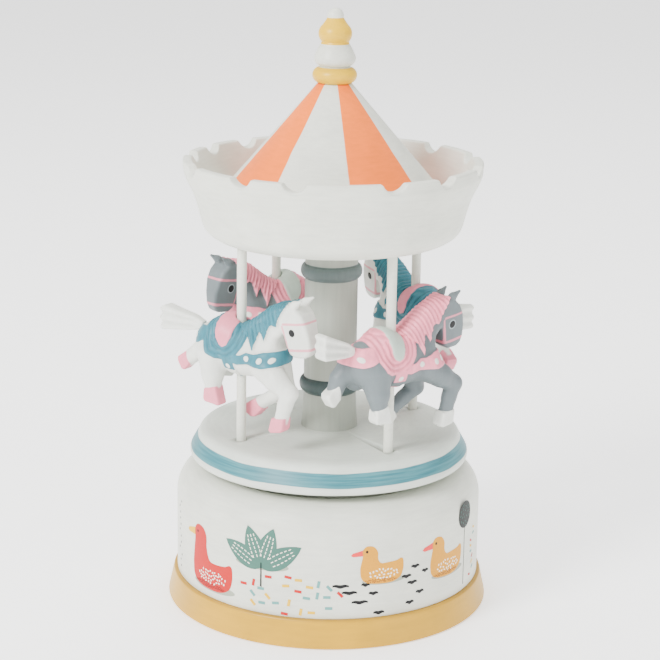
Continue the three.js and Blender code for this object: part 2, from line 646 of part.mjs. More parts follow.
function horseSolid() {
  const carved = cut(
    joined(
      limb(...BARREL),
      limb([11, 0, 93.5, 5.6], [3, 0, 94.2, 4.6], [17.8, 0, 105, 3.5], [15.5, 0, 98, 3.6]),
      limb([20.8, 0, 104.6, 3.8], [24.6, 0, 103.2, 3.6], [25.2, 0, 95.4, 3.2]),
      limb([21.6, 2.4, 106.8, 1.5], [25.4, 3.3, 110, 0.5]),
      limb([21.6, -2.4, 106.8, 1.5], [25.4, -3.3, 110, 0.5]),
      limb([12, -3.4, 86.5, 4.6], [22.8, -5.2, 79.6, 3.3]),
      limb([22.8, -5.2, 79.6, 3.3], [20.4, -5.2, 72, 2.7], [19, -5.2, 69, 2.6]),
      limb([12, 3.4, 86.5, 4.6], [14.5, 5, 77.4, 3]),
      limb([14.5, 5, 77.4, 3], [2, 5, 69.8, 2.5]),
      limb([-9.5, -3, 88.5, 5.6], [-8.2, -4.8, 77, 3.2]),
      limb([-8.2, -4.8, 77, 3.2], [-7.4, -4.8, 74.3, 2.9]),
      limb([-9.5, 3, 88.5, 5.6], [-21, 4.8, 85, 3.2], [-27, 4.8, 81.4, 2.6]),
    ),
    bar(POLE_R + 0.15, 60, 130),
  );
  return carved.translate([0, 0, HORSE_RAISE]);
}

function tailSolid() {
  const carved = cut(
    limb([-16.6, 0, 96, 2.1], [-27.5, 0, 98.2, 2.3], [-27.5, 0, 94.4, 2.6], [-28.8, 0, 96, 1.9]),
    limb(...BARREL.map(([x, y, z, r]) => [x, y, z, r + 0.3])),
  );
  return carved.translate([0, 0, HORSE_RAISE]);
}

function buildHorse(number, deg, turnIn, look) {
  const seat = new THREE.Group();
  seat.position.set(...polar(POLE_CIRCLE_R, deg), waveHeight(deg));
  seat.rotation.z = THREE.MathUtils.degToRad(deg + 90 + turnIn);
  group.add(seat);
  piece(`pole_${number}`, bar(POLE_R, 49.4, 130.8, 0, 0, 12), WHITE_PAINT, seat);
  piece(`pole_glide_${number}`, turned([
    [0, 48.2],
    [2.4, 48.2],
    [3.4, 49.2],
    [3.4, 51.2],
    [POLE_R + FIT, 51.2],
    [POLE_R + FIT, 49.3],
    [0, 49.3],
  ], 10), NYLON, seat);
  piece(`horse_${number}`, horseSolid(), look, seat);
  piece(`tail_${number}`, tailSolid(), HORSE_WHITE, seat);
}

buildBase();
buildWaveTrack();
buildBedplate();
buildSpring();
buildWinding();
buildCylinder();
buildComb();
buildGovernor();
buildTurntable();
buildColumn();
buildCanopy();
buildRoof();
POLE_DEGS.forEach((deg, i) =>
  buildHorse(i + 1, deg, HORSE_TURNS_DEG[i], i % 2 ? HORSE_GREY : HORSE_WHITE));

export default group;
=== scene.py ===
"""Looks of the wind-up carousel music box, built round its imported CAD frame.

Sizes are in millimetres, in the CAD frame: +Z up, the front facing -Y. They are scaled to metres as
each mesh is made. The floor, the lights and the scales of textures work in metres.
"""
import json
import math

import bmesh
import bpy
import numpy as np
from mathutils import Matrix, Vector


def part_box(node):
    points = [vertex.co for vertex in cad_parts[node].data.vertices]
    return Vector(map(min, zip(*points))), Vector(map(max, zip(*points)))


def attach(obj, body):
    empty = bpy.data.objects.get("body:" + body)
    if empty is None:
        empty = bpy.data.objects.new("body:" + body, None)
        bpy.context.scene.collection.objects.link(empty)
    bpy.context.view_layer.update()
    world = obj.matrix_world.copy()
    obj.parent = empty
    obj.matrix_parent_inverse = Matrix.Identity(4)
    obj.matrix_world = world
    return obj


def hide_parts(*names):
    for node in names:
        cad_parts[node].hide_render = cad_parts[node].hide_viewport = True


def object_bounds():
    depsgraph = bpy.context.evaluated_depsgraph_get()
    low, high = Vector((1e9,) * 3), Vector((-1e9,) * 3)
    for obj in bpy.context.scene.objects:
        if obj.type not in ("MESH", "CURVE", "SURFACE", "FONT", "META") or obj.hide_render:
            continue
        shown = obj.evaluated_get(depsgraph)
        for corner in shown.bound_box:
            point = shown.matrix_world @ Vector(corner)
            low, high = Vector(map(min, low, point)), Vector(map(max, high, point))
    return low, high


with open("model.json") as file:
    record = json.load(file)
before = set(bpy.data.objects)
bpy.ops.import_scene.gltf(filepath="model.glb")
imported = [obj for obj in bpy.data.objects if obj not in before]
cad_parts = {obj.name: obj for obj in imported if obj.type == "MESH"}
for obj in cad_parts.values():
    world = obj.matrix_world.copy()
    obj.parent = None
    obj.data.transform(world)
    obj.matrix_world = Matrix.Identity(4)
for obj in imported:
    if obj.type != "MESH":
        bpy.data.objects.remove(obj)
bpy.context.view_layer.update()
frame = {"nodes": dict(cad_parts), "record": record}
MM = 0.001

# ---- driving dimensions
FOOT_R, FOOT_TOP_R, FOOT_TOP = 55.0, 52.9, 9.2
COVER_R, COVER_SEAT = 48.0, 3.6
FOOT_OPENING_R = 43.5
DRUM_R, DRUM_TOP = 51.8, 46.5
SHOULDER_R, SHOULDER_H = 9.0, 10.0
CAVITY_R, CAVITY_TOP = 45.0, 33.0
RECESS_R, RECESS_FLOOR = 14.0, 43.5  # room for the drive hub
ARBOR_HOLE_R = 2.8
LAND_R, CHANNEL_R, CHANNEL_FLOOR = 30.4, 39.8, 36.9
DECK_BOTTOM, DECK_TOP, DECK_R = 49.5, 59.4, 47.5
GROOVE_TOP = 54.5
STRIPE = (52.3, 56.5)  # the turntable's edge is blue between these heights
SPIGOT_BORE_R, SPIGOT_R = 5.8, 5.7
SPIGOT_BOTTOM, SPIGOT_TOP = 54.4, 131.0
SPIGOT_SOCKET_TOP = 131.2
COLUMN_R = 8.9
BEADS = (  # height of the middle, radius, how tall, half of the paint
    (74.1, 10.4, 4.8, 2.7),
    (113.3, 10.35, 4.6, 2.6),
)
CANOPY_BOTTOM, CANOPY_FLOOR, RIM_TOP = 125.0, 136.0, 151.0
NOTCH_DEGS = (-126, -104, -67, -43, -16, 14, 43, 72, 101, 130, 152, 172, 203)
NOTCH_R, NOTCH_DEPTH, NOTCH_CIRCLE_R = 4.2, 2.7, 48.0
DOWEL_HOLE_R, DOWEL_HOLE_FLOOR, DOWEL_HOLE_TOP = 3.1, 132.2, 146.3
ROOF_APEX, ROOF_SLOPE, ROOF_TOP = 182.5, 0.8635, 175.9
FIRST_STRIPE_DEG, STRIPE_DEG = 10.0, 45.0
FINIAL_HOLE_R, FINIAL_HOLE_FLOOR = 2.6, 169.0
FINIAL_BEAD = (181.2, 188.7)  # the finial is white between these heights
FINIAL_TIP = (197.2, 210.0)  # and between these
GAP = 0.02  # between the faces of two pieces that meet
POLE_R, POLE_BORE_R = 1.6, 2.15
POLE_FOOT, POLE_TOP = 49.4, 130.8  # a pole's ends at mid height
HORSE_BORE_R = 1.95
HORSE_RAISE = 1.5  # how far up its pole each horse is fixed
HORSE_TURNS_DEG = (22, 4, -1, 7)  # how far each horse heads inside the tangent
TAIL_STRETCH = ((0.12, 0.02), (-0.12, 0.2), (0.0, 0.0), (0.0, 0.0))  # reach and rise, per mm of tail
SIDES, CANOPY_SIDES, POLE_SIDES, CUTTER_SIDES = 256, 900, 40, 32
ROUND_STEPS = 6  # on each rounded corner of a turning profile
SHARP_DEG = 38  # edges sharper than this are shaded sharp


def srgb(red, green, blue):
    """A linear colour from 0-255 display values."""
    levels = [v / 255 for v in (red, green, blue)]
    return [v / 12.92 if v <= 0.04045 else ((v + 0.055) / 1.055) ** 2.4 for v in levels] + [1.0]


WHITE = srgb(214, 216, 204)
# Painted shade: a greyer copy of the white paint for the turntable, which lies in the canopy's shade.
SHADED_DECK_WHITE = srgb(204, 210, 200)
YELLOW = srgb(196, 148, 0)
PALE_YELLOW = srgb(222, 176, 0)
# Painted shade: the column's white, darkened for the shade under the canopy.
SHADED_COLUMN_WHITE = srgb(166, 171, 160)
ORANGE = srgb(246, 116, 20)
BLUE = srgb(52, 112, 122)
PALE_BLUE = srgb(84, 140, 146)
BEAD_GREY = srgb(99, 113, 112)
DARK_BEAD = srgb(70, 84, 84)
TEAL = srgb(52, 112, 126)
PINK = srgb(232, 134, 152)
HORSE_WHITE = srgb(224, 226, 218)
HORSE_GREY = srgb(106, 115, 118)
SADDLE_PALE = srgb(178, 192, 180)
EYE_BLACK = srgb(5, 5, 7)
EYE_RING = srgb(186, 198, 202)
FOOT_SEAM = srgb(150, 112, 40)
WOOD = srgb(190, 150, 96)
DARK_WOOD = srgb(160, 122, 78)
NYLON = srgb(232, 228, 216)
STEEL = srgb(150, 154, 158)
PLATED_STEEL = srgb(205, 206, 208)
BRASS = srgb(205, 168, 88)
FLOOR_WHITE = srgb(250, 250, 249)


def shaded(colour, factor):
    return [min(1.0, level * factor) for level in colour[:3]] + [1.0]


# ---- materials
NOISE_RANGE = (0.3, 0.7)  # where most of a noise texture's values lie
# Painted shade in creases fades out over this range of pointiness.
CREASE_RANGE = (0.44, 0.51)  # pointiness, from inside a crease to flat
ROUGHNESS_SPREAD = 0.12
GRIT_SHARE = 0.35  # of the relief, beside the streaks
SPECULAR_LEVEL = 0.3
COAT_ROUGHNESS = 0.3


class Graph:
    """Short-hand for the node tree of one material."""

    def __init__(self, name):
        self.material = bpy.data.materials.new(name)
        self.material.use_nodes = True
        self.tree = self.material.node_tree
        self.shader = self.tree.nodes["Principled BSDF"]
        self.place = self.node("ShaderNodeTexCoord").outputs["Object"]
        self.x, self.y, self.z = self.node("ShaderNodeSeparateXYZ", {0: self.place}).outputs

    def node(self, kind, values=None, **settings):
        made = self.tree.nodes.new(kind)
        for key, value in settings.items():
            setattr(made, key, value)
        for key, value in (values or {}).items():
            if isinstance(value, bpy.types.NodeSocket):
                self.tree.links.new(value, made.inputs[key])
            else:
                made.inputs[key].default_value = value
        return made

    def math(self, operation, *values):
        made = self.node("ShaderNodeMath", dict(enumerate(values)), operation=operation)
        return made.outputs[0]

    def vector(self, x, y, z):
        return self.node("ShaderNodeCombineXYZ", {0: x, 1: y, 2: z}).outputs[0]

    def scaled(self, vector, *factors):
        made = self.node("ShaderNodeVectorMath", {0: vector, 1: factors}, operation="MULTIPLY")
        return made.outputs[0]

    def noise(self, vector, scale, detail=2.0, roughness=0.5):
        values = {"Vector": vector, "Scale": scale, "Detail": detail, "Roughness": roughness}
        return self.node("ShaderNodeTexNoise", values).outputs[0]

    def ramp(self, value, low, high, out_low=0.0, out_high=1.0):
        values = {0: value, 1: low, 2: high, 3: out_low, 4: out_high}
        return self.node("ShaderNodeMapRange", values).outputs[0]

    def mix(self, factor, first, second):
        made = self.node("ShaderNodeMix", {0: factor, 6: first, 7: second}, data_type="RGBA")
        return made.outputs[2]

    def attribute(self, name):
        return self.node("ShaderNodeAttribute", attribute_name=name).outputs["Fac"]

    def radius(self):
        flat = self.scaled(self.place, 1, 1, 0)
        return self.node("ShaderNodeVectorMath", {0: flat}, operation="LENGTH").outputs["Value"]

    def azimuth(self):
        return self.math("ARCTAN2", self.y, self.x)

    def turning(self, across, along):
        """Lines that run round the axis, as a lathe or a brush on a turning piece leaves them."""
        return self.vector(
            self.math("MULTIPLY", self.radius(), across),
            self.math("MULTIPLY", self.math("ABSOLUTE", self.azimuth()), along),
            self.math("MULTIPLY", self.z, across),
        )

    def wander(self, scale, width):
        """A slow drift, at most half of width either way."""
        drift = self.math("SUBTRACT", self.noise(self.place, scale, 2), 0.5)
        return self.math("MULTIPLY", drift, width)

    def band(self, low, high, wobble):
        """1 between two heights in mm, with painted edges that wander within wobble mm."""
        level = self.math("ADD", self.z, self.wander(55, wobble * MM))
        soft = 0.08 * MM
        above = self.ramp(level, low * MM - soft, low * MM + soft)
        below = self.ramp(level, high * MM + soft, high * MM - soft)
        return self.math("MULTIPLY", above, below)

    def finish(self, colour, streaks, rough, shade=0.07, streak_shade=0.05, relief=0.03, metal=0.0,
               crease=0.0, coat=0.0):
        """Pigment that varies a little, streaks with their own relief, and an uneven film.

        streaks is the vector their noise is read at. shade and streak_shade say how strongly clouds and
        streaks change the tone, and the crease weight how strongly painted shade darkens creases; relief
        is in mm.
        """
        cloud = self.noise(self.place, 70, 3)
        fine = self.noise(streaks, 1.0, 3, 0.6)
        level = self.math("ADD", self.ramp(cloud, *NOISE_RANGE, 1 - shade, 1 + shade * 0.5),
                          self.ramp(fine, *NOISE_RANGE, -streak_shade, streak_shade))
        # Painted shade: creases, where pointiness is low, are darkened as if shadowed.
        if crease:
            sharp = self.node("ShaderNodeNewGeometry").outputs["Pointiness"]
            level = self.math("MULTIPLY", level, self.ramp(sharp, *CREASE_RANGE, 1 - crease, 1.0))
        if not isinstance(colour, bpy.types.NodeSocket):
            colour = self.mix(0.0, colour, colour)
        tone = self.node("ShaderNodeVectorMath", {0: colour, "Scale": level}, operation="SCALE")
        rougher = self.math("ADD", rough - ROUGHNESS_SPREAD / 2,
                            self.math("MULTIPLY", cloud, ROUGHNESS_SPREAD))
        grit = self.noise(self.place, 1400, 2)
        film = self.math("ADD", fine, self.math("MULTIPLY", grit, GRIT_SHARE))
        bump = self.node("ShaderNodeBump", {"Strength": 1.0, "Distance": relief * MM, "Height": film})
        sockets = self.shader.inputs
        self.tree.links.new(tone.outputs[0], sockets["Base Color"])
        self.tree.links.new(rougher, sockets["Roughness"])
        self.tree.links.new(bump.outputs[0], sockets["Normal"])
        sockets["Metallic"].default_value = metal
        sockets["Coat Weight"].default_value = coat
        sockets["Coat Roughness"].default_value = COAT_ROUGHNESS
        sockets["Specular IOR Level"].default_value = SPECULAR_LEVEL
        return self.material


def turned_paint(name, colour, rough=0.42, **kinds):
    g = Graph(name)
    return g.finish(colour, g.turning(900, 6), rough, **kinds)


def foot_paint():
    g = Graph("yellow_foot_paint")
    seam = g.ramp(g.z, (FOOT_TOP - 0.9) * MM, FOOT_TOP * MM)
    colour = g.mix(g.math("MULTIPLY", seam, 0.45), YELLOW, FOOT_SEAM)
    return g.finish(colour, g.turning(700, 5), 0.4, shade=0.09, coat=0.15)


def deck_paint():
    g = Graph("turntable_paint")
    brush = g.noise(g.turning(1500, 3), 1.0, 3)
    blue = g.mix(g.ramp(brush, 0.35, 0.75), BLUE, PALE_BLUE)
    # The turntable's white is a little greyer, painted shade.
    colour = g.mix(g.band(*STRIPE, 0.9), SHADED_DECK_WHITE, blue)
    return g.finish(colour, g.turning(800, 5), 0.42)


def column_paint():
    g = Graph("column_paint")
    # The column's white is darkened with painted shade.
    colour = SHADED_COLUMN_WHITE
    for (middle, _, _, half), grey in zip(BEADS, (DARK_BEAD, BEAD_GREY)):
        colour = g.mix(g.band(middle - half, middle + half, 0.5), colour, grey)
    drawn = g.scaled(g.place, 700, 700, 45)
    return g.finish(colour, drawn, 0.45, streak_shade=0.06)


def roof_paint():
    """Stripes by azimuth: one cycle is an orange stripe and a white one."""
    g = Graph("roof_stripes")
    angle = g.math("ADD", g.azimuth(), g.wander(60, 0.05))
    turn = g.math("SUBTRACT", angle, math.radians(FIRST_STRIPE_DEG))
    share = g.math("DIVIDE", turn, math.radians(2 * STRIPE_DEG))
    cycle = g.math("PINGPONG", g.math("ADD", share, 0.25), 0.5)
    edge = 0.004
    orange = g.ramp(cycle, 0.25 - edge, 0.25 + edge)
    colour = g.mix(orange, WHITE, ORANGE)
    return g.finish(colour, g.turning(900, 5), 0.42, shade=0.08)


def finial_paint():
    g = Graph("finial_paint")
    colour = PALE_YELLOW
    for heights in (FINIAL_BEAD, FINIAL_TIP):
        colour = g.mix(g.band(*heights, 0.3), colour, WHITE)
    return g.finish(colour, g.turning(1100, 4), 0.4, coat=0.1)


def horse_paint(name, coat_colour, trim, saddle, hoof, ring):
    """A hand-painted horse: each zone comes from a signed distance kept on the mesh, in mm."""
    g = Graph(name)
    wander = g.wander(420, 0.35)
    soft = 0.07

    def zone(attribute, grow=0.0, wobble=1.0):
        edge = g.math("ADD", g.attribute(attribute), g.math("MULTIPLY", wander, wobble))
        return g.ramp(edge, soft + grow, -soft + grow)

    brush = g.noise(g.scaled(g.place, 500, 500, 160), 1.0, 2)
    coat_mix = g.mix(g.ramp(brush, 0.3, 0.8), coat_colour, shaded(coat_colour, 0.93))
    trim_mix = g.mix(g.ramp(brush, 0.35, 0.7), trim, shaded(trim, 1.22))
    colour = g.mix(zone("hoof"), coat_mix, hoof)
    colour = g.mix(g.math("MULTIPLY", zone("bridle"), 0.8), colour, PINK)
    colour = g.mix(zone("trim"), colour, trim_mix)
    colour = g.mix(zone("saddle"), colour, saddle)
    colour = g.mix(zone("dots", 0.0, 0.4), colour, HORSE_WHITE)
    colour = g.mix(g.math("MULTIPLY", zone("eye", 0.4, 0.6), ring), colour, EYE_RING)
    colour = g.mix(zone("eye", 0.0, 0.2), colour, EYE_BLACK)
    grain = g.scaled(g.place, 600, 600, 200)
    # Painted shade darkens the horse's creases, between mane locks and beside the tack.
    return g.finish(colour, grain, 0.42, shade=0.05, streak_shade=0.03, relief=0.05, crease=0.28)


def tail_paint():
    g = Graph("tail_paint")
    # Painted shade darkens the grooves of the tail.
    return g.finish(HORSE_WHITE, g.scaled(g.place, 700, 700, 700), 0.45, relief=0.05, crease=0.25)


def film(name, colour):
    """Ink printed on the drum."""
    g = Graph(name)
    return g.finish(colour, g.scaled(g.place, 1800, 1800, 1800), 0.5, shade=0.06, relief=0.01)


def bare_wood():
    g = Graph("bare_wood_grain")
    rings = g.noise(g.scaled(g.place, 40, 420, 420), 1.0, 4, 0.6)
    colour = g.mix(g.ramp(rings, *NOISE_RANGE), WOOD, DARK_WOOD)
    return g.finish(colour, g.scaled(g.place, 60, 900, 900), 0.75, shade=0.1, relief=0.08)


def metal(name, colour, rough):
    g = Graph(name)
    brushed = g.scaled(g.place, 300, 2600, 2600)
    return g.finish(colour, brushed, rough, shade=0.08, relief=0.006, metal=1.0)


def nylon():
    g = Graph("moulded_nylon")
    g.shader.inputs["Subsurface Weight"].default_value = 0.08
    g.shader.inputs["Subsurface Radius"].default_value = (0.001, 0.001, 0.0008)
    return g.finish(NYLON, g.scaled(g.place, 900, 900, 900), 0.45, shade=0.04)


# ---- mesh helpers
def add_mesh(name, points, faces, material):
    """A smooth-shaded mesh object from points in mm and faces."""
    mesh = bpy.data.meshes.new(name)
    mesh.from_pydata((np.asarray(points, float) * MM).tolist(), [], faces.tolist())
    mesh.materials.append(material)
    mesh.validate()
    return show(name, mesh)


def show(name, mesh):
    mesh.shade_smooth()
    mesh.set_sharp_from_angle(angle=math.radians(SHARP_DEG))
    made = bpy.data.objects.new(name, mesh)
    bpy.context.scene.collection.objects.link(made)
    return made


def settle(piece, body, slot, *nodes):
    """Puts a piece on its body, in place of CAD nodes if there are any; slot is not used."""
    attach(piece, body)
    if nodes:
        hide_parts(*nodes)


def outline(*corners):
    """A turning profile through [r, z] or [r, z, reach] corners; a corner with a reach is rounded
    off from that far away on both sides."""
    path = []
    for i, (r, z, *reach) in enumerate(corners):
        here = np.array([r, z], float)
        if not reach:
            path.append(here)
            continue
        before = np.array(corners[i - 1][:2], float) - here
        after = np.array(corners[(i + 1) % len(corners)][:2], float) - here
        before *= reach[0] / np.linalg.norm(before)
        after *= reach[0] / np.linalg.norm(after)
        for t in np.linspace(0, 1, ROUND_STEPS + 1):
            path.append(here + before * (1 - t) ** 2 + after * t ** 2)
    return np.array(path)


def ellipse_arc(r, z, radius, height, start, end, steps):
    """Profile corners along an ellipse about (r, z), from start to end degrees."""
    angles = np.radians(np.linspace(start, end, steps + 1))
    return [(r + radius * math.cos(a), z + height * math.sin(a)) for a in angles]


def turned(name, profiles, material):
    """A closed solid of revolution about Z. profiles is one profile, or one for each side."""
    profiles = np.asarray(profiles, float)
    if profiles.ndim == 2:
        profiles = np.broadcast_to(profiles, (SIDES, *profiles.shape))
    sides, count = profiles.shape[:2]
    angles = np.linspace(0, 2 * math.pi, sides, endpoint=False)[:, None]
    r, z = profiles[..., 0], profiles[..., 1]
    points = np.stack([r * np.cos(angles), r * np.sin(angles), z], -1).reshape(-1, 3)
    a = np.arange(sides)[:, None] * count + np.arange(count)
    b = np.roll(a, -1, 0)
    faces = np.stack([a, b, np.roll(b, -1, 1), np.roll(a, -1, 1)], -1).reshape(-1, 4)
    mesh = bpy.data.meshes.new(name)
    mesh.from_pydata((points * MM).tolist(), [], faces.tolist())
    close(mesh)
    mesh.materials.append(material)
    return show(name, mesh)


def close(mesh):
    """Merges the points that lie on each other and turns every face outwards."""
    bm = bmesh.new()
    bm.from_mesh(mesh)
    bmesh.ops.remove_doubles(bm, verts=bm.verts, dist=1e-7)
    bmesh.ops.dissolve_degenerate(bm, edges=bm.edges, dist=1e-8)
    bmesh.ops.recalc_face_normals(bm, faces=bm.faces)
    bm.to_mesh(mesh)
    bm.free()


def bored(piece, z0, z1):
    """Cuts the four pole bores into a piece."""
    profile = outline((0, z0), (POLE_BORE_R, z0), (POLE_BORE_R, z1), (0, z1))
    profiles = np.broadcast_to(profile, (CUTTER_SIDES, *profile.shape))
    for x, y in POLES:
        cutter = turned("cutter", profiles, piece.active_material)
        cutter.location = (x * MM, y * MM, 0)
        change = piece.modifiers.new("bore", "BOOLEAN")
        change.operation = "DIFFERENCE"
        change.object = cutter
        change.solver = "EXACT"
        bpy.context.view_layer.update()
        settled = piece.evaluated_get(bpy.context.evaluated_depsgraph_get())
        shape = bpy.data.meshes.new_from_object(settled)
        piece.modifiers.clear()
        piece.data = shape
        bpy.data.objects.remove(cutter)
    return piece


def pole_axis(number):
    low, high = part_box(f"pole_{number}")
    middle = (low + high) / 2 / MM
    return middle.x, middle.y


POLES = [pole_axis(number) for number in (1, 2, 3, 4)]


# ---- base
def build_foot():
    profile = outline(
        (COVER_R, 0, 0.3), (FOOT_R - 0.05, 0, 0.7), (FOOT_TOP_R, FOOT_TOP - 0.05, 0.6),
        (FOOT_OPENING_R, FOOT_TOP), (FOOT_OPENING_R, COVER_SEAT), (COVER_R, COVER_SEAT))
    settle(turned("foot", profile, foot_paint()), "base", "yellow_paint", "base_foot")


def build_drum():
    shoulder = ellipse_arc(
        DRUM_R - SHOULDER_R, DRUM_TOP - SHOULDER_H, SHOULDER_R, SHOULDER_H, 0, 90, 18)
    profile = outline(
        (CAVITY_R, FOOT_TOP), (DRUM_R - 0.35, FOOT_TOP), (DRUM_R, FOOT_TOP + 0.45),
        *[(DRUM_R, z) for z in np.linspace(14, 33, 4)], *shoulder,
        (CHANNEL_R, DRUM_TOP, 0.4), (CHANNEL_R, CHANNEL_FLOOR), (LAND_R, CHANNEL_FLOOR),
        (LAND_R, DRUM_TOP, 0.4), (RECESS_R, DRUM_TOP, 0.4), (RECESS_R, RECESS_FLOOR),
        (ARBOR_HOLE_R, RECESS_FLOOR), (ARBOR_HOLE_R, CAVITY_TOP), (CAVITY_R, CAVITY_TOP))
    drum = turned("drum", profile, turned_paint("drum_paint", WHITE))
    settle(drum, "base", "white_paint", "drum_casing")


# ---- print on the drum
# Each layer's lower and upper face, in mm off the drum.
INK_LAYERS = ((0.0, 0.03), (0.02, 0.07), (0.06, 0.1), (0.09, 0.13))
FILM_STRIP = 1.2  # widest flat strip of a film
TRIES_PER_SPOT = 30
PRINT_SEED = 7
INKS = {
    "red": srgb(186, 10, 6), "dark_red": srgb(110, 6, 8), "amber": srgb(214, 146, 0),
    "mustard": srgb(150, 84, 0), "coral": srgb(228, 56, 56), "leaf": srgb(62, 104, 92),
    "bottle": srgb(6, 16, 12), "black": srgb(6, 6, 10), "shadow": srgb(150, 156, 140),
    "cream": srgb(246, 242, 226), "yellow": srgb(226, 178, 0), "mint": srgb(94, 150, 146),
}


class Print:
    """Collects flat outlines by ink and layer, then lays them on the drum as thin closed films."""

    def __init__(self):
        self.shapes = {}

    def add(self, ink, layer, points, deg, height):
        """points are (across, up) in mm about a spot at an azimuth and a height on the drum."""
        points = np.asarray(points, float)
        offset = np.array([math.radians(deg) * DRUM_R, height])
        self.shapes.setdefault((ink, layer), []).append(points + offset)

    def lay(self):
        for (ink, layer), shapes in self.shapes.items():
            bm = bmesh.new()
            for shape in shapes:
                add_film(bm, shape, *INK_LAYERS[layer])
            bmesh.ops.recalc_face_normals(bm, faces=bm.faces)
            mesh = bpy.data.meshes.new(f"print_{ink}_{layer}")
            bm.to_mesh(mesh)
            bm.free()
            mesh.materials.append(INK_FINISHES[ink])
            settle(show(mesh.name, mesh), "base", "print_ink")


def add_film(bm, shape, low, high):
    """Adds a flat outline to bm, bent round the drum, from low to high mm off its face."""
    part = bmesh.new()
    part.faces.new([part.verts.new((u, z, 0)) for u, z in shape])
    part.normal_update()
    bmesh.ops.triangulate(part, faces=part.faces, ngon_method="EAR_CLIP")
    u0, u1 = shape[:, 0].min(), shape[:, 0].max()
    strips = max(2, math.ceil((u1 - u0) / FILM_STRIP) + 1)
    for u in np.linspace(u0, u1, strips)[1:-1]:
        geometry = part.verts[:] + part.edges[:] + part.faces[:]
        bmesh.ops.bisect_plane(part, geom=geometry, plane_co=(u, 0, 0), plane_no=(1, 0, 0))
    grown = bmesh.ops.extrude_face_region(part, geom=part.faces[:], use_keep_orig=True)
    raised = {v for v in grown["geom"] if isinstance(v, bmesh.types.BMVert)}
    for v in part.verts:
        u, z = v.co.x, v.co.y
        r = DRUM_R + (high if v in raised else low)
        v.co = Vector((r * math.cos(u / DRUM_R), r * math.sin(u / DRUM_R), z)) * MM
    mesh = bpy.data.meshes.new("film")
    part.to_mesh(mesh)
    part.free()
    bm.from_mesh(mesh)
    bpy.data.meshes.remove(mesh)


def spline(points):
    """A smooth closed curve through the points."""
    p = np.asarray(points, float)
    before, after, later = np.roll(p, 1, 0), np.roll(p, -1, 0), np.roll(p, -2, 0)
    path = []
    for t in np.linspace(0, 1, 5, endpoint=False):
        path.append(0.5 * (2 * p + (after - before) * t
                           + (2 * before - 5 * p + 4 * after - later) * t ** 2
                           + (3 * p - before - 3 * after + later) * t ** 3))
    return np.stack(path, 1).reshape(-1, 2)


def oval(across, up, width, height, sides=10, tilt=0.0):
    angles = np.linspace(0, 2 * math.pi, sides, endpoint=False)
    x, y = width * np.cos(angles), height * np.sin(angles)
    return np.stack([across + x * math.cos(tilt) - y * math.sin(tilt),
                     up + x * math.sin(tilt) + y * math.cos(tilt)], -1)


def dash(across, up, length, width, tilt):
    half = np.array([[-1, -1], [1, -1], [1, 1], [-1, 1]]) * [length / 2, width / 2]
    turn = np.array([[math.cos(tilt), math.sin(tilt)], [-math.sin(tilt), math.cos(tilt)]])
    return half @ turn + [across, up]


def scatter(rng, count, across, up, width, height, apart):
    """Seeded spots inside an oval, none closer than apart to another."""
    spots = []
    for _ in range(count * TRIES_PER_SPOT):
        a, b = rng.uniform(-1, 1, 2)
        spot = np.array([across + a * width, up + b * height])
        if a * a + b * b < 1 and all(np.linalg.norm(spot - s) > apart for s in spots):
            spots.append(spot)
        if len(spots) == count:
            break
    return spots


def print_duck(page, deg, height, length, neck, ink, rim_ink, beak_ink, rng):
    """A plain duck that swims to the left; neck lifts its head, as a share of its length."""
    body = [(-0.46, 0.30), (-0.42, 0.10), (-0.24, 0.0), (0.20, -0.02), (0.44, 0.07), (0.52, 0.24),
            (0.52, 0.45), (0.46, 0.50), (0.36, 0.46), (0.14, 0.44), (0.0, 0.44 + neck * 0.2),
            (-0.07, 0.54 + neck * 0.7), (-0.08, 0.70 + neck), (-0.17, 0.82 + neck),
            (-0.32, 0.84 + neck), (-0.41, 0.75 + neck), (-0.41, 0.60 + neck * 0.9),
            (-0.44, 0.46 + neck * 0.4)]
    shade = oval(length * 0.08, length * 0.04, length * 0.5, length * 0.085, 28)
    page.add("shadow", 0, shade, deg, height)
    page.add(ink, 1, spline(body) * length, deg, height)
    beak = [(-0.40, 0.76), (-0.62, 0.70), (-0.67, 0.65), (-0.62, 0.62), (-0.40, 0.63)]
    page.add(beak_ink, 1, (np.array(beak) + [0, neck]) * length, deg, height)
    page.add("black", 2, oval(-0.32 * length, (0.72 + neck) * length, 0.42, 0.5), deg, height)
    for x, y in scatter(rng, 40, 0.05 * length, 0.2 * length, 0.34 * length, 0.115 * length, 0.95):
        page.add("cream", 2, oval(x, y, 0.42, 0.26, 8, rng.uniform(0, 3)), deg, height)
    for x, y in scatter(rng, 60, 0.0, 0.05 * length, 0.36 * length, 0.036 * length, 0.5):
        page.add(rim_ink, 3, oval(x, y, 0.26, 0.2, 6, rng.uniform(0, 3)), deg, height)


def print_plant(page, deg, height):
    """A fan of pointed leaves on a thin stem."""
    page.add("shadow", 0, oval(0, 1.0, 9.6, 1.7, 28), deg, height)
    leaves = ((-62, 15.5, 3.4), (-20, 14.6, 3.6), (17, 14.6, 3.4), (58, 16.2, 3.5))
    for lean_deg, length, width in leaves:
        lean = math.radians(lean_deg)
        along = np.array([math.sin(lean), math.cos(lean)])
        aside = np.array([math.cos(lean), -math.sin(lean)])
        t = np.linspace(0, 1, 12)
        half = width * np.sin(math.pi * t ** 0.8) ** 0.8
        edge = along * (t[:, None] * length) + aside * half[:, None]
        back = along * (t[:, None] * length) - aside * half[:, None]
        page.add("leaf", 1, np.vstack([edge, back[-2:0:-1]]), deg, height)
        for step in range(3, 9):
            for side in (-0.5, 0.0, 0.5):
                spot = along * length * (step / 10.5) + aside * side * half[step] * 0.9
                page.add("cream", 2, dash(*spot, 0.9, 0.28, math.pi / 2 - lean), deg, height)
    page.add("black", 2, [(-0.28, -6.4), (0.28, -6.6), (0.22, 1.8), (-0.2, 1.8)], deg, height)


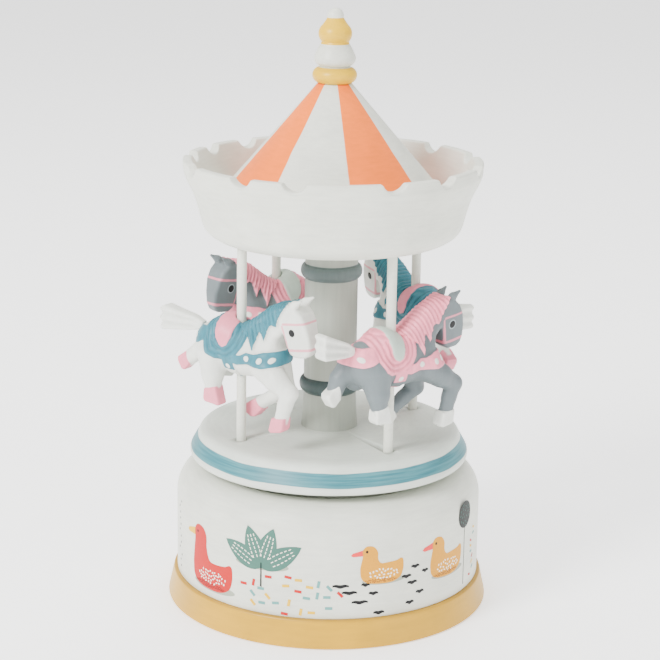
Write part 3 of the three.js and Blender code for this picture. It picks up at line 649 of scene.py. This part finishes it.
def print_tree(page, deg, height, rng):
    """A round dark crown, flecked with green, on a thin trunk."""
    page.add("bottle", 1, oval(0, 24.6, 4.5, 4.7, 30), deg, height)
    page.add("black", 1, dash(0, 10.0, 20.4, 0.28, math.pi / 2), deg, height)
    for x, y in scatter(rng, 20, 0, 24.6, 3.8, 4.0, 1.2):
        page.add("leaf", 2, dash(x, y, 0.8, 0.2, rng.uniform(0, 3)), deg, height)


def print_wave(page, deg, height, length):
    t = np.linspace(0, 1, 9)
    ridge = np.stack([(t - 0.5) * length, 0.17 * np.sin(t * 3.1 * math.pi)], -1)
    thick = (0.6 * np.sin(math.pi * np.clip(t, 0.08, 0.92)) ** 0.5)[:, None] * [0, 1]
    page.add("black", 1, np.vstack([ridge - thick, (ridge + thick)[::-1]]), deg, height)


def print_side(page, turn, rng):
    """One half of the print, turned round the drum by that many degrees."""
    print_duck(page, turn - 138.5, 12.6, 20.5, 0.16, "red", "dark_red", "yellow", rng)
    print_plant(page, turn - 114.3, 25.0)
    print_duck(page, turn - 70.3, 21.2, 15.2, 0.0, "amber", "mustard", "coral", rng)
    print_duck(page, turn - 40.6, 18.4, 17.0, 0.0, "amber", "mustard", "coral", rng)
    print_tree(page, turn - 28.2, 11.6, rng)
    waves = ((-85, 20.7, 5.4), (-81.8, 18.4, 5.0), (-78, 15, 5.4), (-76, 20.9, 2.8),
             (-73, 17.8, 3.2), (-56.3, 24.9, 3.2), (-51.8, 22.6, 2.6), (-60, 22, 3.6),
             (-57.5, 19.5, 3.8), (-54, 15.7, 3.2), (-58.4, 12.7, 3.2), (-70.8, 10.9, 3.8))
    for deg, height, length in waves:
        print_wave(page, turn + deg, height, length)
    for x, y in scatter(rng, 26, 0, 0, 17.5, 6.6, 3.1):
        ink = ("red", "yellow", "mint")[rng.integers(3)]
        tilt = rng.choice([0.0, 0.1, -0.15, -0.1, -0.8, 1.4])
        if abs(x + 4) > 1.2 or y < 0:  # a narrow strip stays bare
            page.add(ink, 1, dash(x, y, 2.4, 0.95, tilt), turn - 103, 16.6)
    for i in range(9):
        ink = ("red", "mint", "yellow")[i % 3]
        shape = dash(rng.uniform(-2, 2), i * 2.0, 1.7, 0.75, rng.uniform(-0.6, 0.6))
        page.add(ink, 1, shape, turn - 20.5, 13)
    for i in range(12):
        shape = oval(rng.uniform(-1.6, 1.6), i * 2.1, 0.38, 0.42, 8)
        page.add("black", 1, shape, turn - 163, 13)


def build_print():
    rng = np.random.default_rng(PRINT_SEED)
    page = Print()
    print_side(page, 0, rng)
    print_side(page, 180, rng)
    page.lay()


# ---- carousel
def build_turntable():
    profile = outline(
        (SPIGOT_BORE_R, DECK_BOTTOM), (LAND_R, DECK_BOTTOM), (LAND_R, GROOVE_TOP),
        (CHANNEL_R, GROOVE_TOP),
        (CHANNEL_R, DECK_BOTTOM, 0.3), (DECK_R - 0.7, DECK_BOTTOM, 0.9), (DECK_R, 51.2, 0.9),
        (DECK_R - 0.5, 52.6, 0.5), (44.7, 56.6, 0.8), (43.6, DECK_TOP - 0.5, 1.6),
        (40.8, DECK_TOP, 1.2), (SPIGOT_BORE_R, DECK_TOP))
    deck = bored(turned("deck", profile, deck_paint()), 54, 60)
    settle(deck, "carousel", "white_paint", "turntable")


def build_column():
    foot, head = DECK_TOP + GAP, CANOPY_BOTTOM - GAP
    lower, upper = [ellipse_arc(COLUMN_R, middle, radius - COLUMN_R, tall / 2, -90, 90, 14)
                    for middle, radius, tall, _ in BEADS]
    profile = outline(
        (0, SPIGOT_BOTTOM), (SPIGOT_R, SPIGOT_BOTTOM), (SPIGOT_R, foot), (9.6, foot),
        (9.3, DECK_TOP + 2.6, 1.2), *lower, *upper, (COLUMN_R, head), (SPIGOT_R, head),
        (SPIGOT_R, SPIGOT_TOP), (0, SPIGOT_TOP))
    column = turned("centre_column", profile, column_paint())
    settle(column, "carousel", "white_paint", "column")


def rim_height(azimuth):
    """Height of the canopy's rim at an azimuth: scoops whose edges the paint has softened."""
    top = np.full(azimuth.shape, RIM_TOP)
    soft, steepness = 0.55, 4
    for deg in NOTCH_DEGS:
        away = (azimuth - math.radians(deg) + math.pi) % (2 * math.pi) - math.pi
        along = np.abs(away) * NOTCH_CIRCLE_R
        reach = np.minimum(along, NOTCH_R * 0.985)
        scoop = RIM_TOP + NOTCH_R - NOTCH_DEPTH - np.sqrt(NOTCH_R ** 2 - reach ** 2)
        scoop = np.where(along > NOTCH_R, scoop + (along - NOTCH_R) * steepness, scoop)
        mix = np.clip(0.5 + 0.5 * (scoop - top) / soft, 0, 1)
        top = scoop * (1 - mix) + top * mix - soft * mix * (1 - mix)
    return top


def build_canopy():
    azimuths = np.linspace(0, 2 * math.pi, CANOPY_SIDES, endpoint=False)
    profiles = []
    for top in rim_height(azimuths):
        drop = RIM_TOP - top
        outer = 49.7 - 0.12 * drop
        inner = 46.7 - 0.42 * drop
        profiles.append(outline(
            (0, SPIGOT_SOCKET_TOP), (SPIGOT_BORE_R, SPIGOT_SOCKET_TOP), (SPIGOT_BORE_R, CANOPY_BOTTOM),
            (38.4, CANOPY_BOTTOM, 1.2), (42.8, 127.4, 3.0), (44.3, 133.6, 2.4), (46.1, 139.6, 2.4),
            (48.6, 144.4, 1.6), (49.5, 147.0, 0.7), (outer, top - 0.05, 0.75), (inner, top, 0.8),
            (44.3, 143.4, 1.6), (42.2, 138.4, 1.4), (40.6, CANOPY_FLOOR, 1.2),
            (DOWEL_HOLE_R, CANOPY_FLOOR), (DOWEL_HOLE_R, DOWEL_HOLE_FLOOR), (0, DOWEL_HOLE_FLOOR)))
    # Painted shade darkens the canopy's creases and notches.
    paint = turned_paint("canopy_paint", WHITE, crease=0.12)
    canopy = bored(turned("canopy_bowl", profiles, paint), 124, 134.6)
    settle(canopy, "carousel", "white_paint", "canopy")


def build_roof():
    def reach(z):
        return (ROOF_APEX - z) * ROOF_SLOPE

    foot, head = CANOPY_FLOOR + GAP, ROOF_TOP - GAP
    slope = [(reach(z), z) for z in np.linspace(137.6, ROOF_TOP - 0.3, 14)]
    profile = outline(
        (DOWEL_HOLE_R, foot), (reach(foot) - 0.8, foot, 0.6), (reach(137.0) + 0.05, 137.0, 0.5),
        *slope, (reach(ROOF_TOP) - 0.15, head), (FINIAL_HOLE_R, head),
        (FINIAL_HOLE_R, FINIAL_HOLE_FLOOR), (0, FINIAL_HOLE_FLOOR), (0, DOWEL_HOLE_TOP),
        (DOWEL_HOLE_R, DOWEL_HOLE_TOP))
    settle(turned("striped_roof", profile, roof_paint()), "carousel", "orange_paint", "roof_cone")


def build_finial():
    profile = outline(
        (0, 169.3), (2.5, 169.3), (2.5, ROOF_TOP),
        *ellipse_arc(4.6, 178.6, 2.75, 2.7, -88, 84, 14), (4.7, 181.4),
        *ellipse_arc(4.2, 184.1, 2.65, 2.6, -70, 28, 8), (5.6, 187.4, 0.8), (4.7, 188.7),
        *ellipse_arc(2.1, 192.0, 3.4, 3.6, -46, 52, 10), (3.1, 196.4, 0.9),
        *ellipse_arc(0, 197.7, 2.75, 2.7, -12, 90, 8))
    settle(turned("finial_beads", profile, finial_paint()), "carousel", "yellow_paint", "finial")


# ---- horses
# A horse's own frame: origin on its pole's axis, +X ahead, +Y its left side, Z from the ground.
STEP = 0.36  # grid pitch of the carved shapes


class Block:
    """A block of grid points that shapes are carved in, as signed distances."""

    def __init__(self, low, high):
        self.low = np.array(low, float)
        counts = np.ceil((np.array(high) - self.low) / STEP).astype(int) + 1
        axes = [low[i] + STEP * np.arange(counts[i]) for i in range(3)]
        self.x = axes[0].astype(np.float32)[:, None, None]
        self.y = axes[1].astype(np.float32)[None, :, None]
        self.z = axes[2].astype(np.float32)[None, None, :]

    def limb(self, *balls, widen=1.0):
        """A tapered bar through [x, y, z, radius] balls; widen below 1 flattens it sideways."""
        made = None
        for a, b in zip(balls, balls[1:]):
            start, along = np.array(a[:3]), np.array(b[:3]) - np.array(a[:3])
            px, py, pz = self.x - start[0], self.y - start[1], self.z - start[2]
            t = np.clip((px * along[0] + py * along[1] + pz * along[2]) / (along @ along), 0, 1)
            ox, oy, oz = px - t * along[0], (py - t * along[1]) / widen, pz - t * along[2]
            d = np.sqrt(ox * ox + oy * oy + oz * oz) - (a[3] + (b[3] - a[3]) * t)
            made = d if made is None else blend(made, d, 0.8)
        return made

    def side(self, points):
        """Signed distance to an outline in the side view."""
        return outline_distance(points, self.x[:, 0], self.z[0])[:, None, :]

    def slab(self, points, middle, half, soft):
        """A side-view outline, thick by half each side of y = middle, with soft edges."""
        flat = self.side(points) + soft
        deep = np.abs(self.y - middle) - half + soft
        outside = np.sqrt(np.maximum(flat, 0) ** 2 + np.maximum(deep, 0) ** 2)
        return outside + np.minimum(np.maximum(flat, deep), 0) - soft


def outline_distance(points, x, z):
    """Signed distance from (x, z) to a closed outline, negative inside."""
    p = np.asarray(points, float)
    best = np.full(np.broadcast(x, z).shape, 1e9)
    inside = np.zeros(best.shape, bool)
    for (x0, z0), (x1, z1) in zip(p, np.roll(p, -1, 0)):
        ex, ez = x1 - x0, z1 - z0
        t = np.clip(((x - x0) * ex + (z - z0) * ez) / (ex * ex + ez * ez), 0, 1)
        best = np.minimum(best, (x - x0 - t * ex) ** 2 + (z - z0 - t * ez) ** 2)
        if z0 != z1:
            crosses = ((z0 > z) != (z1 > z)) & (x < ex * (z - z0) / ez + x0)
            inside ^= crosses
    return np.sqrt(best) * np.where(inside, -1, 1)


def blend(a, b, soft):
    """Union of two distances with a fillet."""
    h = np.clip(0.5 + 0.5 * (b - a) / soft, 0, 1)
    return b + (a - b) * h - soft * h * (1 - h)


def swell(distance, height, edge=0.45):
    """Relief that rises to height inside an outline."""
    t = np.clip(0.5 - distance / edge, 0, 1)
    return height * t * t * (3 - 2 * t)


def carved(field, block):
    """The closed surface where the field is zero, as points in mm and quads."""
    inside = field < 0
    cells = np.array(field.shape) - 1

    def at(values, corner):
        return values[tuple(slice(c, c + n) for c, n in zip(corner, cells))]

    total = np.zeros((*cells, 3), np.float32)
    count = np.zeros(cells, np.int8)
    for axis in range(3):
        for u in (0, 1):
            for v in (0, 1):
                corner = [u, v]
                corner.insert(axis, 0)
                far = [u, v]
                far.insert(axis, 1)
                a, b = at(field, corner), at(field, far)
                crossing = at(inside, corner) != at(inside, far)
                share = np.where(crossing, a / np.where(crossing, a - b, 1), 0)
                for i in range(3):
                    total[..., i] += crossing * (share if i == axis else corner[i])
                count += crossing
    active = count > 0
    index = np.full(cells, -1)
    index[active] = np.arange(active.sum())
    points = block.low + STEP * (np.argwhere(active) + total[active] / count[active][:, None])
    faces = []
    for axis in range(3):
        lower = [slice(1, -1)] * 3
        upper = [slice(1, -1)] * 3
        lower[axis], upper[axis] = slice(0, -1), slice(1, None)
        a, b = inside[tuple(lower)], inside[tuple(upper)]
        others = [i for i in range(3) if i != axis]
        ring = []
        for u, v in ((0, 0), (1, 0), (1, 1), (0, 1)):
            cut = [slice(None)] * 3
            for i, o in zip(others, (u, v)):
                cut[i] = slice(o, cells[i] - 1 + o)
            ring.append(index[tuple(cut)])
        quads = np.stack(ring, -1)
        out, back = quads[a & ~b], quads[b & ~a][:, ::-1]
        faces += [out[:, ::-1], back[:, ::-1]] if axis == 1 else [out, back]
    return points, np.vstack(faces)


# Outlines in the side view, as (x, z) points.
BLANKET = [(-12.2, 104), (-11.6, 98.6), (-10.4, 93.2), (-8.2, 89.6), (-5.4, 88.0), (-2.4, 87.6),
           (0.6, 88.3), (3.2, 90.2), (5.2, 92.9), (6.2, 96.0), (6.0, 99.2), (4.2, 104)]
SADDLE = [(-5.6, 104), (-5.6, 99.0), (-5.0, 95.2), (-3.8, 93.0), (-2.2, 92.2), (-0.6, 93.1), (0.6, 95.6),
          (1.0, 99.0), (0.7, 104)]
MANE = [(21.6, 109.6), (18.6, 111.2), (13.0, 109.4), (8.0, 106.0), (3.0, 101.8), (1.9, 99.6), (4.6, 98.0),
        (6.9, 96.4), (7.8, 94.6), (9.2, 92.2), (9.7, 95.6), (10.7, 99.0), (11.5, 98.0), (12.7, 95.7),
        (13.4, 98.6), (14.3, 101.1), (15.2, 101.6), (17.0, 101.2), (17.6, 103.6), (19.2, 106.4)]
BREAST = [(1.5, 90.2), (5.0, 90.6), (7.0, 91.7), (9.8, 91.5), (13.4, 92.6), (19.6, 93.2), (19.6, 88.6),
          (16.5, 88.2), (13.6, 87.6), (10.2, 87.9), (7.0, 87.8), (3.4, 87.0), (1.5, 87.4)]
GIRTH = [(-3.0, 89), (1.6, 89), (1.9, 84), (1.7, 79), (-2.9, 79), (-2.7, 84)]
CRUPPER = [(-20, 96.4), (-14.4, 97.0), (-10.6, 97.4), (-10.4, 93.2), (-12.4, 92.2), (-15.0, 91.2),
           (-20, 91.6)]
HEAD = [(17.6, 103.6), (18.9, 107.6), (21.2, 108.7), (24.0, 108.2), (26.3, 106.2), (27.9, 103.0),
        (28.9, 99.0), (29.1, 95.2), (28.3, 92.9), (26.6, 91.8), (22.8, 91.5), (21.0, 92.6),
        (20.0, 95.2), (19.2, 98.6)]
NECK = [(1.0, 97.0), (3.0, 98.6), (6.0, 100.8), (9.6, 103.5), (13.2, 106.2), (17.0, 108.2), (20.6, 108.4),
        (21.4, 104.0), (19.4, 99.8), (16.6, 97.0), (15.6, 93.4), (17.2, 89.6), (12.0, 85.0), (3.0, 88.0)]
TAIL = [(-15.2, 97.3), (-18.6, 98.6), (-24.0, 99.6), (-29.4, 100.9), (-30.4, 99.6), (-30.6, 93.6),
        (-29.8, 92.0), (-24.0, 93.0), (-18.6, 94.0), (-15.2, 94.6)]
DOTS = ((7.4, 89.8, 0.95), (13.0, 90.1, 0.95), (16.6, 90.4, 0.9), (-0.6, 85.9, 0.9),
        (-15.2, 93.9, 0.9))  # x, z, radius
EYE, EYE_SQUEEZE = (22.9, 100.1, 1.3), 1.12
BRIDLE = ((19.6, 102.6, 31.0, 104.2, 0.75), (19.4, 93.7, 31.0, 95.3, 0.9),
          (19.2, 101.8, 20.9, 94.0, 0.75))  # lines: x and z of both ends, width
BACK_TOP = 104.4  # the blanket ends here
TAIL_ROOT_X = -15.5  # a tail is stretched behind this
FAR = 1e3  # a distance that carves and paints nothing
# Each hoof's middle across the horse, half its width and its outline.
HOOVES = {
    "right_front": (-5.0, 2.5, [(17.4, 71.6), (22.3, 71.9), (21.9, 68.2), (21.2, 67.2), (17.2, 66.4),
                                (16.2, 67.2), (16.8, 69.4)]),
    "left_front": (5.0, 2.3, [(3.2, 73.2), (6.2, 69.8), (3.2, 66.8), (1.4, 66.6), (-2.0, 68.6),
                              (-1.8, 70.0), (0.9, 71.9)]),
    "right_hind": (-4.8, 2.4, [(-10.5, 76.6), (-5.6, 77.9), (-4.7, 74.4), (-4.0, 71.9), (-4.6, 71.5),
                               (-7.8, 71.9), (-10.2, 72.1), (-10.8, 73.2)]),
    "left_hind": (4.8, 2.3, [(-25.6, 84.8), (-29.3, 82.2), (-29.2, 80.6), (-27.6, 78.0), (-26.4, 77.9),
                             (-24.0, 80.3)]),
}


def eye_distance(x, z):
    return np.hypot((x - EYE[0]) * EYE_SQUEEZE, z - EYE[1]) - EYE[2]


def dots_distance(x, z):
    dots = [np.hypot(x - dot_x, z - dot_z) - radius for dot_x, dot_z, radius in DOTS]
    return np.min(np.array(dots, float), 0)


def horse_body(block, hooves, hind_swing):
    """The bare horse, as a signed distance."""
    body = block.limb([-8.8, 0, 91.0, 8.0], [3, 0, 90.4, 8.3], [11.0, 0, 89.4, 7.3], widen=0.88)
    neck_half = 4.9 - np.clip((block.z - 94) * 0.13, 0, 1.9)
    body = blend(body, block.slab(NECK, 0, neck_half, 2.2), 2.2)
    muzzle = np.clip((block.x - 24.5) * 0.16, 0, 0.8)
    head_half = 2.6 + np.clip((block.z - 92) * 0.155, -0.2, 1.75) - muzzle
    body = blend(body, block.slab(HEAD, 0, head_half, 1.0), 1.1)
    seat = block.limb([-4.4, 0, 95.4, 6.2], [-1.5, 0, 94.4, 5.9], widen=1.12)
    body = blend(body, seat, 1.4)
    for side in (-1, 1):
        ear = block.limb([21.0, 2.5 * side, 106.9, 1.7], [23.4, 3.0 * side, 109.3, 1.25],
                         [25.9, 3.5 * side, 110.9, 0.45])
        body = blend(body, ear, 0.5)
    legs = (
        ([12.0, -3.4, 87.4, 5.0], [17.6, -4.7, 83.8, 3.9], [22.9, -5.0, 80.4, 3.0],
         [21.4, -5.0, 76.0, 2.45], [19.8, -5.0, 70.4, 2.3]),
        ([11.8, 3.4, 87.2, 4.9], [14.9, 4.8, 78.2, 2.9], [10.0, 5.0, 75.1, 2.4],
         [3.8, 5.0, 71.2, 2.2]),
        ([-8.8, -3.2, 88.4, 6.0], [-8.4, -4.6, 81.6, 3.8], [-8.1, -4.8, 76.2, 2.5]),
        ([-9.0, 3.3, 88.6, 5.8], [-10.8, 4.2, 85.2, 4.0]),
        ([-12.6, 3.6, 90.2, 4.8], [-20.2 + hind_swing * 0.5, 4.8, 86.0, 3.1],
         [-25.6 + hind_swing, 4.8, 81.9 - hind_swing * 0.1, 2.55]),
    )
    for balls in legs:
        body = blend(body, block.limb(*balls), 1.5)
    for middle, half, corners in hooves.values():
        body = blend(body, block.slab(corners, middle, half, 0.7), 0.35)
    return body


def horse_relief(block):
    """How far the tack, the mane and the eyes stand out of the bare horse."""
    blanket, saddle, mane = block.side(BLANKET), block.side(SADDLE), block.side(MANE)
    straps = np.minimum(np.minimum(block.side(BREAST), block.side(GIRTH)), block.side(CRUPPER))
    above_back = np.where(block.z > BACK_TOP, FAR, 0)
    across = (8.1 * block.x + 3.1 * block.z) / 8.67
    strands = 0.24 * np.sin(across * 2 * math.pi / 1.5) + 0.1 * np.sin(across * 2 * math.pi / 0.83)
    rolls = 0.26 * np.cos((blanket + 0.95) * 2 * math.pi / 1.75)
    relief = swell(np.maximum(blanket, above_back), 0.62)
    relief = relief + swell(np.maximum(blanket, -saddle), 1, 0.8) * rolls
    relief = np.maximum(relief, swell(mane, 0.85) + swell(mane, 1, 1.2) * strands)
    relief = np.maximum(relief, swell(straps, 0.5)) + swell(saddle, 0.55, 0.7)
    relief = relief + swell(dots_distance(block.x, block.z), 0.22, 0.5)
    return relief + swell(eye_distance(block.x, block.z), 0.16, 0.4)


def paint_zones(points, hooves):
    """Signed distance in mm from each point to each zone of paint, negative inside."""
    x, y, z = points.T

    def side(corners):
        return outline_distance(corners, x, z)

    hoof = np.full(len(points), FAR)
    for middle, _, corners in hooves.values():
        other_side = np.where(y * middle > 0, 0, FAR)
        hoof = np.minimum(hoof, side(corners) - 0.12 + other_side)
    bridle = np.full(len(points), FAR)
    for x0, z0, x1, z1, width in BRIDLE:
        ex, ez = x1 - x0, z1 - z0
        t = np.clip(((x - x0) * ex + (z - z0) * ez) / (ex ** 2 + ez ** 2), 0, 1)
        bridle = np.minimum(bridle, np.hypot(x - x0 - t * ex, z - z0 - t * ez) - width / 2)
    low_legs = np.where((z < 84.6) & (np.abs(y) > 3.2), FAR, 0)
    above_back = np.where((z > BACK_TOP) & (x < 2.5), FAR, 0)
    trim = np.minimum(side(BLANKET) + above_back, side(MANE))
    trim = np.minimum(trim, np.minimum(side(BREAST), side(CRUPPER)))
    return {
        "trim": np.minimum(trim, side(GIRTH) + low_legs),
        "saddle": side(SADDLE),
        "dots": dots_distance(x, z) + low_legs,
        "eye": eye_distance(x, z) + np.where(np.abs(y) < 2, FAR, 0),
        "hoof": hoof,
        "bridle": bridle,
    }


def carve_horse(hind_swing):
    """Points, quads and paint zones of a horse; hind_swing draws its left hind hoof forward."""
    hooves = dict(HOOVES)
    middle, half, corners = hooves["left_hind"]
    swung = [(x + hind_swing, z - hind_swing * 0.1) for x, z in corners]
    hooves["left_hind"] = (middle, half, swung)
    block = Block((-32.5, -10, 62), (32.5, 10, 113.5))
    shape = horse_body(block, hooves, hind_swing) - horse_relief(block)
    shape = np.maximum(shape, HORSE_BORE_R - np.hypot(block.x, block.y))
    points, faces = carved(shape, block)
    return points, faces, paint_zones(points, hooves)


def carve_tail():
    block = Block((-32.5, -5, 89), (-14, 5, 103.5))
    half = 1.5 + np.clip((-16 - block.x) * 0.085, 0, 1.2)
    shape = block.slab(TAIL, 0, half, 0.8)
    spread = 1 + np.clip((-17 - block.x) * 0.055, 0, 0.8)
    flutes = 0.34 * np.cos((block.z - 96.2) / spread * 2 * math.pi / 1.9)
    return carved(shape - flutes * np.clip((-16.5 - block.x) / 4, 0, 1), block)


def pole_lift(number):
    """How far a pole stands above mid height at rest."""
    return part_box(f"pole_{number}")[0].z / MM - POLE_FOOT


def stand(points, number):
    """Moves points from a horse's own frame to its place on the carousel."""
    x, y = POLES[number - 1]
    heading = math.atan2(y, x) + math.radians(90 + HORSE_TURNS_DEG[number - 1])
    c, s = math.cos(heading), math.sin(heading)
    px, py, pz = points.T
    height = pz + pole_lift(number) + HORSE_RAISE
    return np.stack([x + px * c - py * s, y + px * s + py * c, height], -1)


def build_horse(number, carving, paint, slot):
    points, faces, zones = carving
    horse = add_mesh(f"carved_horse_{number}", stand(points, number), faces, paint)
    for zone, distances in zones.items():
        kept = horse.data.attributes.new(zone, "FLOAT", "POINT")
        kept.data.foreach_set("value", np.clip(distances, -5, 5).astype(np.float32))
    settle(horse, f"rider_{number}", slot, f"horse_{number}")


def build_tail(number, carving, paint):
    points, faces = carving
    reach, rise = TAIL_STRETCH[number - 1]
    drawn = points.copy()
    beyond = np.maximum(TAIL_ROOT_X - drawn[:, 0], 0)
    drawn[:, 0] -= beyond * reach
    drawn[:, 2] += beyond * rise
    tail = add_mesh(f"fluted_tail_{number}", stand(drawn, number), faces, paint)
    settle(tail, f"rider_{number}", "horse_white", f"tail_{number}")


def build_pole(number, paint):
    profile = outline((0, POLE_FOOT), (POLE_R, POLE_FOOT, 0.3), (POLE_R, POLE_TOP, 0.5), (0, POLE_TOP))
    profiles = np.broadcast_to(profile, (POLE_SIDES, *profile.shape))
    pole = turned(f"riding_pole_{number}", profiles, paint)
    x, y = POLES[number - 1]
    pole.data.transform(Matrix.Translation((x * MM, y * MM, pole_lift(number) * MM)))
    settle(pole, f"rider_{number}", "white_paint", f"pole_{number}")


def build_riders():
    """Horses 1 and 3 are white; 2 and 4 are grey, with the left hind leg further forward."""
    tail = carve_tail()
    white = (carve_horse(0.0), horse_paint("white_horse_paint", HORSE_WHITE, TEAL, PINK, PINK, 0.0),
             "horse_white")
    grey = (carve_horse(6.5),
            horse_paint("grey_horse_paint", HORSE_GREY, PINK, SADDLE_PALE, HORSE_WHITE, 0.45),
            "horse_grey")
    tail_finish = tail_paint()
    pole_finish = turned_paint("pole_paint", WHITE)
    for number in (1, 2, 3, 4):
        build_horse(number, *(white if number % 2 else grey))
        build_tail(number, tail, tail_finish)
        build_pole(number, pole_finish)


# ---- what stays as CAD
def finish_cad_nodes():
    for part in frame["record"]["subparts"]:
        node = frame["nodes"].get(part["node"])
        finish = CAD_FINISHES.get(part["material_slot"])
        if node is None or finish is None:
            continue
        node.data.materials.clear()
        node.data.materials.append(finish)


# ---- stage
CAMERA_BACK, CAMERA_HEIGHT = 652.7, 264.7
CAMERA_PITCH, CAMERA_YAW, CAMERA_ROLL = 14.79, 0.02, 0.9  # degrees
FOCAL, SENSOR = 109.1, 36.0
FLOOR_HALF, FLOOR_GAP = 6.0, 0.0002
FLOOR_GLOW, SKY_STRENGTH = 0.9, 1.25
LIGHT_AIM = (0.0, 0.0, 0.09)
LIGHTS = (  # name, place, size, power
    ("key", (-0.8, -0.8, 0.8), 0.5, 30),
    ("fill", (0.9, -0.7, 0.35), 0.9, 4),
    ("top", (0.0, 0.35, 1.2), 0.8, 12),
)


def build_camera():
    camera = bpy.data.cameras.new("camera")
    camera.lens, camera.sensor_width = FOCAL, SENSOR
    view = bpy.data.objects.new("camera", camera)
    bpy.context.scene.collection.objects.link(view)
    turn = (Matrix.Rotation(math.radians(CAMERA_YAW), 4, "Z")
            @ Matrix.Rotation(math.radians(90 - CAMERA_PITCH), 4, "X")
            @ Matrix.Rotation(math.radians(CAMERA_ROLL), 4, "Z"))
    view.matrix_world = Matrix.Translation((0, -CAMERA_BACK * MM, CAMERA_HEIGHT * MM)) @ turn
    bpy.context.scene.camera = view


def soft_light(name, place, size, power):
    light = bpy.data.lights.new(name, "AREA")
    light.shape = "DISK"
    light.size = size
    light.energy = power
    lamp = bpy.data.objects.new(name, light)
    lamp.location = place
    aim = Vector(LIGHT_AIM) - Vector(place)
    lamp.rotation_euler = aim.to_track_quat("-Z", "Y").to_euler()
    bpy.context.scene.collection.objects.link(lamp)


def build_stage():
    bm = bmesh.new()
    bmesh.ops.create_grid(bm, x_segments=4, y_segments=4, size=FLOOR_HALF)
    mesh = bpy.data.meshes.new("floor")
    bm.to_mesh(mesh)
    bm.free()
    g = Graph("floor_sheet")
    g.shader.inputs["Emission Color"].default_value = (1, 1, 1, 1)
    g.shader.inputs["Emission Strength"].default_value = FLOOR_GLOW
    streaks = g.scaled(g.place, 30, 30, 30)
    mesh.materials.append(
        g.finish(FLOOR_WHITE, streaks, 0.9, shade=0.01, streak_shade=0.005, relief=0.0))
    floor = bpy.data.objects.new("floor", mesh)
    floor.location.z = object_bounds()[0].z - FLOOR_GAP
    bpy.context.scene.collection.objects.link(floor)
    world = bpy.data.worlds.new("studio")
    world.use_nodes = True
    backdrop = world.node_tree.nodes["Background"]
    backdrop.inputs["Color"].default_value = (1, 1, 1, 1)
    backdrop.inputs["Strength"].default_value = SKY_STRENGTH
    bpy.context.scene.world = world
    for light in LIGHTS:
        soft_light(*light)


INK_FINISHES = {ink: film(f"ink_{ink}", colour) for ink, colour in INKS.items()}
CAD_FINISHES = {
    "nylon": nylon(),
    "bare_wood": bare_wood(),
    "steel": metal("drawn_steel", STEEL, 0.34),
    "plated_steel": metal("plated_steel", PLATED_STEEL, 0.26),
    "brass": metal("rolled_brass", BRASS, 0.3),
}

build_foot()
build_drum()
build_print()
build_turntable()
build_column()
build_canopy()
build_roof()
build_finial()
build_riders()
finish_cad_nodes()
build_camera()
build_stage()
